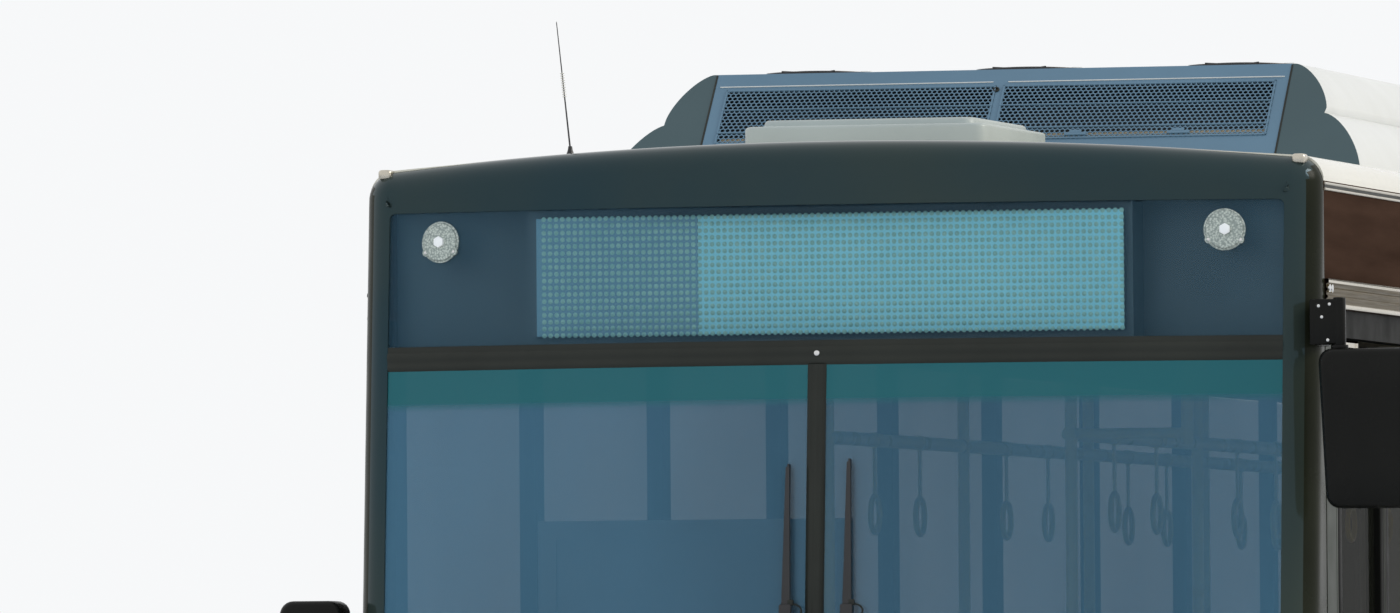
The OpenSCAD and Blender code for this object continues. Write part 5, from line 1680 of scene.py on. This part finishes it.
def makeSeats():
    look, fit = seatSettings, seatSettings["fit"]
    padX, thick = look["padWide"] / 2 - 0.004, (look["padThick"] - look["swell"]) / 2
    tall = (look["backPadHigh"] - look["backPadLow"]) / 2
    cushion = makePadMaster("cushion_master", (padX, look["padDeep"] / 2 - 0.004, thick), 2)
    moved(cushion, shift(0, 0.005 + look["padDeep"] / 2, look["high"] + fit + thick))
    backPad = makePadMaster("back_pad_master", (padX, thick, tall - 0.004), 1)
    # its seat side looks towards -Y, the way that passengers face
    onBack = shift(0, -fit - thick - 0.001, look["backPadLow"] + tall)
    moved(backPad, leaningBack() @ onBack @ turned("Z", math.pi))
    place = join("place_master", [cushion, backPad])
    shell = makeShellMaster("shell_master", look["wide"])
    handle = makeSeatHandle()
    groups = {"low_left": [], "low_right": [], "rear_left": [], "rear_right": []}
    shells, handles = [], []
    for side, z, places in look["rows"]:
        group = groups[("low_" if z < 0.5 else "rear_") + sideName(side)]
        for y in places:
            x = side * look["rowX"]
            shells.append(copyOf(shell, "shell", shift(x, y, z)))
            handles.append(copyOf(handle, "handle", shift(x, y, z)))
            for across in (-look["placeX"], look["placeX"]):
                group.append(copyOf(place, "place", shift(x + across, y, z)))
    shells.append(moved(makeShellMaster("driver_shell", look["driverWide"]), shift(*look["driver"])))
    wide = Matrix.Scale((look["driverWide"] - 0.02) / look["padWide"], 4, (1, 0, 0))
    groups["driver"] = [copyOf(place, "place", shift(*look["driver"]) @ wide)]
    for master in (place, shell, handle):
        bpy.data.objects.remove(master)
    for group, pieces in groups.items():
        pads = dress(join("seat_covers_" + group, pieces), "moquette", slotName="seat_moulding")
    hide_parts("seat_pads")
    shells = finished("seat_shells_moulded", shells, "shellGrey", slotName="seat_shell")
    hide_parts("seat_shells")
    finished("seat_handles", handles, "railYellow")


makeSeats()
print("stage: seats")


# Lower front: headlamps with their bowls, louvres, fog lamps, blank plate, towing cover and seams

lowerSettings = {
    "panelIn": 0.020,
    "lampX": (0.802, 1.148),
    "lampZ": (0.622, 0.798),
    "lensThick": 0.005,
    "bowls": ((0.888, 0.710, 0.066, "lampSilver"), (1.026, 0.710, 0.056, "lampSilver"),
              (1.113, 0.710, 0.028, "amberLens")),
    "louvres": (0.720, 0.755, 0.790, 0.825, 0.860, 0.895),
    "louvreHalf": 0.560,
    "fogX": 0.930,
    "fogZ": 0.400,
    "fogRadius": 0.048,
    "plate": ((-0.262, 0.590), (0.262, 0.704)),
    "seamX": (-0.720, 0.720),
    "towZ": 0.400,
}


def lowerFront(x, z, out=0.0):
    # the upright lower front, measured from the bumper's face
    return Vector((x, frontY + planDepth(x) - out, z))


def lowerSheet(name, x0, x1, z0, z1, out, thick, across=24):
    def place(u, v):
        return lowerFront(between(x0, x1, u), between(z0, z1, v), out)

    return thickened(faceForward(gridSheet(name, across, 2, place)), thick)


def makeHeadlamp(side):
    look, label = lowerSettings, sideName(side)
    (x0, x1), (z0, z1) = sorted(side * x for x in look["lampX"]), look["lampZ"]
    inner = -look["panelIn"] - 0.002
    lens = lowerSheet("headlamp_lens_" + label, x0, x1, z0, z1, inner, look["lensThick"])
    dress(rounded(lens, 0.0015, 2), "clearGlass", slotName="clear_lens")
    tray = [lowerSheet("tray", x0, x1, z0, z1, inner - 0.070, 0.003)]
    for x in (x0, x1):
        y = lowerFront(x, 0, inner).y
        tray.append(box("wall", (x - 0.0015, y + 0.005, z0), (x + 0.0015, y + 0.072, z1)))
    dress(join("headlamp_tray_" + label, tray), "blackFrame", slotName="black_frame")
    for number, (x, z, r, finish) in enumerate(look["bowls"]):
        spot = lowerFront(side * x, z, inner - 0.008)
        bowl = spun("bowl", [(0.0, r), (0.0, r - 0.004), (-0.012, r - 0.010), (-0.034, r * 0.62),
                             (-0.046, r * 0.22), (-0.050, 0.0006), (-0.053, 0.0006), (-0.050, r * 0.30),
                             (-0.036, r * 0.70), (-0.012, r - 0.003)], spot, (0, -1, 0), 40)
        bulb = rod("bulb", spot + Vector((0, 0.046, 0)), spot + Vector((0, 0.014, 0)), r * 0.14, 16)
        finished("headlamp_bowl_%s_%d" % (label, number), [bowl, rounded(bulb, r * 0.05, 2)], finish)
    return lens


def blankPlate(name, low, high):
    return smooth(rounded(cornered(name, low, high, 1, 0.010, 4), 0.0008, 2))


def makeLouvres():
    look, half, field = lowerSettings, lowerSettings["louvreHalf"], -lowerSettings["panelIn"]
    slats = []
    for z in look["louvres"]:
        slat = lowerSheet("slat", -half, half, z - 0.006, z + 0.006, field + 0.012, 0.016, 48)
        for vertex in slat.data.vertices:
            if vertex.co.z > z:
                vertex.co.y += 0.006
        slats.append(rounded(slat, 0.002, 2))
    finished("front_louvres", slats, "blackFrame", 40)
    # near-black sheet behind the slats: painted shade in the openings
    back = lowerSheet("louvre_painted_shade", -half - 0.012, half + 0.012, look["louvres"][0] - 0.022,
                      look["louvres"][-1] + 0.022, field + 0.002, 0.003, 48)
    dress(rounded(back, 0.001, 1), "recessPaintedShade")
    seams = [lowerSheet("seam", x - 0.002, x + 0.002, 0.535, 1.040, field + 0.0006, 0.002, 2)
             for x in look["seamX"]]
    top = lowerSheet("seam", -1.12, 1.12, 1.030, 1.042, field + 0.003, 0.005, 64)
    seams.append(rounded(top, 0.0015, 2))
    dress(join("front_seams", seams), "trimRubber")


def makeFogLamps():
    look, r, towZ = lowerSettings, lowerSettings["fogRadius"], lowerSettings["towZ"]
    ringOutline = [(-0.002, r - 0.004), (-0.002, r + 0.010), (0.004, r + 0.008), (0.006, r + 0.002),
                   (0.004, r - 0.004)]
    glassOutline = [(-0.001, 0.0006), (-0.001, r - 0.0035), (0.002, r - 0.0035), (0.005, r * 0.6),
                    (0.006, 0.0006)]
    rings, lenses = [], []
    for side in (-1, 1):
        x = side * look["fogX"]
        turn = turned("Z", math.asin(x / frontForm["bulge"]))
        place = Matrix.Translation(lowerFront(x, look["fogZ"])) @ turn
        for group, outline in ((rings, ringOutline), (lenses, glassOutline)):
            group.append(moved(spun("lamp", outline, (0, 0, 0), (0, -1, 0), 40), place))
    towCap = rod("cap", (0, frontY + 0.0006, towZ), (0, frontY + 0.014, towZ), 0.0195, 32)
    finished("fog_rings", rings + [rounded(towCap, 0.002, 2)], "trimRubber", 40)
    finished("fog_lenses", lenses, "headLens", 40)


def makeLowerFront():
    lens = makeHeadlamp(-1)
    makeHeadlamp(1)
    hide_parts("headlamps")
    makeLouvres()
    makeFogLamps()
    (x0, z0), (x1, z1) = lowerSettings["plate"]
    plate = blankPlate("blank_plate", (x0, frontY + 0.010, z0), (x1, frontY + 0.0125, z1))
    dress(plate, "plateBlank")
    holder = box("plate_holder", (x0 - 0.008, frontY + 0.012, z0 - 0.008),
                 (x1 + 0.008, frontY + 0.024, z1 + 0.008))
    dress(smooth(rounded(holder, 0.003, 2)), "trimRubber")
    screws = [screwHead(shift(x, frontY + 0.010, (z0 + z1) / 2), 0.006, 0.002) for x in (-0.18, 0.18)]
    finished("plate_screws", screws, "brightSteel")


makeLowerFront()
print("stage: lower front")


# Rear: lamps in their rings, louvred lid with handle and hinges, seal round the window, blank plate

rearSettings = {
    "lampX": 1.080,
    "lamps": ((0.620, "redLens"), (0.760, "amberLens"), (0.900, "redLens")),
    "lampRadius": 0.055,
    "slotRows": 9,
    "slotZ": (0.640, 0.930),
    "slotHalf": 0.640,
    "handleZ": 0.560,
    "plate": ((-0.262, 1.020), (0.262, 1.134)),
    "window": (1.000, 1.500, 2.480),
    "highLamp": (0.30, 2.560),
}


def makeTailLamps():
    look, r = rearSettings, rearSettings["lampRadius"]
    outline = [(-0.010, 0.0006), (-0.010, r), (-0.004, r), (-0.0008, r - 0.006), (0.0, r - 0.016),
               (-0.0015, r * 0.55), (-0.0002, r * 0.46), (0.0, 0.0006)]
    for side in (-1, 1):
        for z, finish in look["lamps"]:
            lens = spun("lens", outline, (side * look["lampX"], rearY - 0.0002, z), (0, 1, 0), 40)
            name = "tail_lens_%d_%d" % (side + 1, round(z * 1000))
            finished(name, [lens], finish, 30, slotName="red_lens")
    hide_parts("tail_lamps")


def makeLidFittings():
    # louvres and fittings travel with the lid
    look, half = rearSettings, rearSettings["slotHalf"]
    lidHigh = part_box("engine_lid")[1]
    face, (low, high) = lidHigh.y, look["slotZ"]
    # near-black sheet behind the lid's slats: painted shade in the openings
    field = box("lid_louvre_painted_shade", (-half - 0.02, face - 0.001, low - 0.02),
                (half + 0.02, face + 0.0004, high + 0.02))
    dress(rounded(field, 0.0004, 1), "recessPaintedShade", body="engine_lid")
    slats = []
    wide = half - 0.012
    for i in range(look["slotRows"]):
        z = between(low, high, i / (look["slotRows"] - 1))
        for x in (-0.008 - wide, 0.008):
            slats.append(cornered("slat", (x, face - 0.001, z - 0.010),
                                  (x + wide, face + 0.0035, z + 0.010), 0, 0.0030, 3,
                                  lambda middle, z=z: middle.y > face and middle.z > z))
    finished("lid_louvres", slats, "creamPaint", 40, body="engine_lid")
    grips = []
    for x in (-0.45, 0.45):
        cup = box("cup", (x - 0.070, face - 0.0005, look["handleZ"] - 0.020),
                  (x + 0.070, face + 0.0035, look["handleZ"] + 0.020))
        chooseFaces(cup, lambda centre, normal: normal.y > 0.9)
        bpy.ops.mesh.inset(thickness=0.008)
        bpy.ops.mesh.inset(thickness=0.003, depth=-0.003)
        stopEdit()
        grips.append(rounded(cup, 0.001, 2))
    dress(join("lid_handles", grips), "trimRubber", body="engine_lid")
    hinges = []
    for x in (-0.62, 0.0, 0.62):
        hinge = box("hinge", (x - 0.050, face, lidHigh.z - 0.036),
                    (x + 0.050, face + 0.0035, lidHigh.z - 0.004))
        hinges.append(rounded(hinge, 0.0012, 2))
    dress(join("lid_hinges", hinges), "blackFrame", body="engine_lid")
    (x0, z0), (x1, z1) = look["plate"]
    plate = blankPlate("blank_plate_rear", (x0, face, z0), (x1, face + 0.0025, z1))
    dress(plate, "plateBlank", body="engine_lid")


def makeRear():
    makeTailLamps()
    makeLidFittings()
    half, low, high = rearSettings["window"]
    seal = box("rear_window_seal", (-half - 0.012, rearY - 0.016, low - 0.012),
               (half + 0.012, rearY - 0.0005, high + 0.012))
    cut = cornered("cut", (-half + 0.016, rearY - 0.05, low + 0.016),
                   (half - 0.016, rearY + 0.05, high - 0.016), 1, 0.060, 6)
    dress(smooth(rounded(cutBy(seal, cut), 0.003, 2), 40), "trimRubber")
    half, z = rearSettings["highLamp"]
    lamp = box("high_stop_lamp", (-half, rearY - 0.006, z - 0.014), (half, rearY - 0.0004, z + 0.014))
    dress(smooth(rounded(lamp, 0.004)), "redLens")
    pads = [rounded(rod("pad", (x, rearY - 0.004, 0.400), (x, rearY - 0.0005, 0.400), 0.038, 32), 0.002, 2)
            for x in (-0.78, 0.78)]
    finished("rear_reflectors", pads, "redLens")


makeRear()
print("stage: rear")


# Sides: arch lips, panel seams, side lamps and a filler flap

sideSettings = {
    "archR": 0.600,
    "lip": 0.012,
    "seamZ": (0.290, 1.110),
    "seams": {1: (-0.42, 0.75, 1.93, 3.70, 4.90), -1: (-2.60, -1.40, -0.20, 1.00, 2.05, 3.70, 4.90)},
    "lampY": (-2.35, -0.15, 1.75, 3.95, 5.70),
    "lampZ": (0.700, 0.735),
    "flap": (4.05, 4.35, 0.640, 0.900),
}


def sideBox(name, side, out, y0, y1, z0, z1):
    # a thin box on the skirt that stands out by the given measure
    x0, x1 = sorted((side * (halfWidth - 0.001), side * (halfWidth + out)))
    return box(name, (x0, y0, z0), (x1, y1, z1))


def makeSides():
    look, r = sideSettings, sideSettings["archR"]
    lips, seams, lamps = [], [], []
    for tyre in ("front_tyre_left", "rear_tyres_left"):
        low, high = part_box(tyre)
        centre = (low + high) / 2
        ring = spun("lip", [(-0.020, r - 0.004), (0.0012, r - 0.004), (0.0012, r + look["lip"]),
                            (-0.0005, r + look["lip"])], (halfWidth, centre.y, centre.z), (1, 0, 0), 96)
        editAll(ring)
        bpy.ops.mesh.bisect(plane_co=(0, 0, skirtLow.z + 0.001), plane_no=(0, 0, 1), clear_inner=True,
                            use_fill=True)
        stopEdit()
        lips.append(ring)
    finished("arch_lips", [bothSides(join("lips", lips))], "trimRubber", 30)
    for side, places in look["seams"].items():
        seams += [sideBox("seam", side, 0.0006, y - 0.0015, y + 0.0015, *look["seamZ"]) for y in places]
        lamps += [rounded(sideBox("lamp", side, 0.0055, y - 0.045, y + 0.045, *look["lampZ"]), 0.004)
                  for y in look["lampY"]]
    dress(join("skirt_seams", seams), "trimRubber")
    finished("side_lamps", lamps, "amberLens")
    y0, y1, z0, z1 = look["flap"]
    flap = cornered("filler_flap", (-halfWidth - 0.0015, y0, z0), (-halfWidth + 0.001, y1, z1), 0, 0.025, 5)
    dress(smooth(rounded(flap, 0.0008, 2)), "creamPaint")
    # dark panel over the cream pillar between the mask and the front doorway: painted shade where the
    # pillar lies in shadow
    pillar = sideBox("pillar_painted_shade", 1, 0.0012, maskBackY + 0.0015, -5.640, 1.060, 2.598)
    chooseFaces(pillar, lambda centre, normal: normal.x > 0.9)
    bpy.ops.mesh.inset(thickness=0.012)
    bpy.ops.mesh.inset(thickness=0.002, depth=-0.0008)
    stopEdit()
    dress(pillar, "pillarPaintedShade")


makeSides()
print("stage: sides")


# Camera at the photograph's place, far off with a long lens

photoView = {
    "place": (8.262, -38.400, 1.641),
    "heading": 14.83,
    "pitch": 1.67,
    "roll": 0.43,
    "lens": 340.5,
}


def makeCamera():
    look = photoView
    data = bpy.data.cameras.new("photoCamera")
    data.lens = look["lens"]
    data.sensor_width = 36
    data.clip_end = 400
    camera = bpy.data.objects.new("photoCamera", data)
    bpy.context.scene.collection.objects.link(camera)
    turn = turned("Z", math.radians(look["heading"])) @ turned("X", math.radians(90 + look["pitch"]))
    camera.matrix_world = shift(*look["place"]) @ turn @ turned("Z", math.radians(-look["roll"]))
    bpy.context.scene.camera = camera


makeCamera()


# Soft studio light and a pale surround

studio = {
    "key": {"place": (30, 4, 24), "size": 18, "power": 8200, "colour": (1.0, 0.95, 0.86), "glints": True},
    "fill": {"place": (-12, -48, 20), "size": 30, "power": 7400, "colour": (0.90, 0.95, 1.0)},
    "back": {"place": (-16, 30, 24), "size": 20, "power": 4400, "colour": (1.0, 0.97, 0.93)},
}


def addLamp(name, look):
    data = bpy.data.lights.new(name, "AREA")
    data.shape = "DISK"
    data.size = look["size"]
    data.energy = look["power"]
    data.color = look["colour"]
    lamp = bpy.data.objects.new(name, data)
    lamp.visible_glossy = look.get("glints", False)
    bpy.context.scene.collection.objects.link(lamp)
    lamp.location = look["place"]
    aim = Vector((0, -2, 1.5)) - Vector(look["place"])
    lamp.rotation_euler = aim.to_track_quat("-Z", "Y").to_euler()


for lampName, look in studio.items():
    addLamp(lampName, look)


def backdrop(tree, colour, strength):
    node = tree.nodes.new("ShaderNodeBackground")
    node.inputs["Color"].default_value = (*colour, 1)
    node.inputs["Strength"].default_value = strength
    return node.outputs[0]


def makeWorld():
    # bluish light from all round, with a pale surround where it is seen or mirrored
    world = bpy.data.worlds.new("paleStudio")
    bpy.context.scene.world = world
    world.use_nodes = True
    tree = world.node_tree
    tree.nodes.clear()
    output = tree.nodes.new("ShaderNodeOutputWorld")
    path = tree.nodes.new("ShaderNodeLightPath")
    anySeen = path.outputs["Is Camera Ray"]
    for extra in ("Is Glossy Ray", "Is Transmission Ray"):
        anySeen = worked(tree, "MAXIMUM", anySeen, path.outputs[extra])
    mix = tree.nodes.new("ShaderNodeMixShader")
    tree.links.new(anySeen, mix.inputs[0])
    tree.links.new(backdrop(tree, (0.80, 0.88, 1.0), 0.55), mix.inputs[1])
    tree.links.new(backdrop(tree, (0.93, 0.94, 0.95), 1.0), mix.inputs[2])
    tree.links.new(mix.outputs[0], output.inputs["Surface"])


makeWorld()


def makeFloor():
    deselect()
    bpy.ops.mesh.primitive_plane_add(size=160, location=(0, 0, 0))
    floor = named("studio_floor")
    tree, shader, coords = shaderOf("paleFloor")
    tone = ramp(tree, noise(tree, coords, 0.4), [(0.3, (0.70, 0.71, 0.72)), (0.7, (0.74, 0.75, 0.76))])
    tree.links.new(tone, shader.inputs["Base Color"])
    shader.inputs["Roughness"].default_value = 0.8
    floor.data.materials.append(finishes["paleFloor"])


makeFloor()
bpy.context.scene.view_settings.view_transform = "Standard"
print("stage: camera, light and floor")
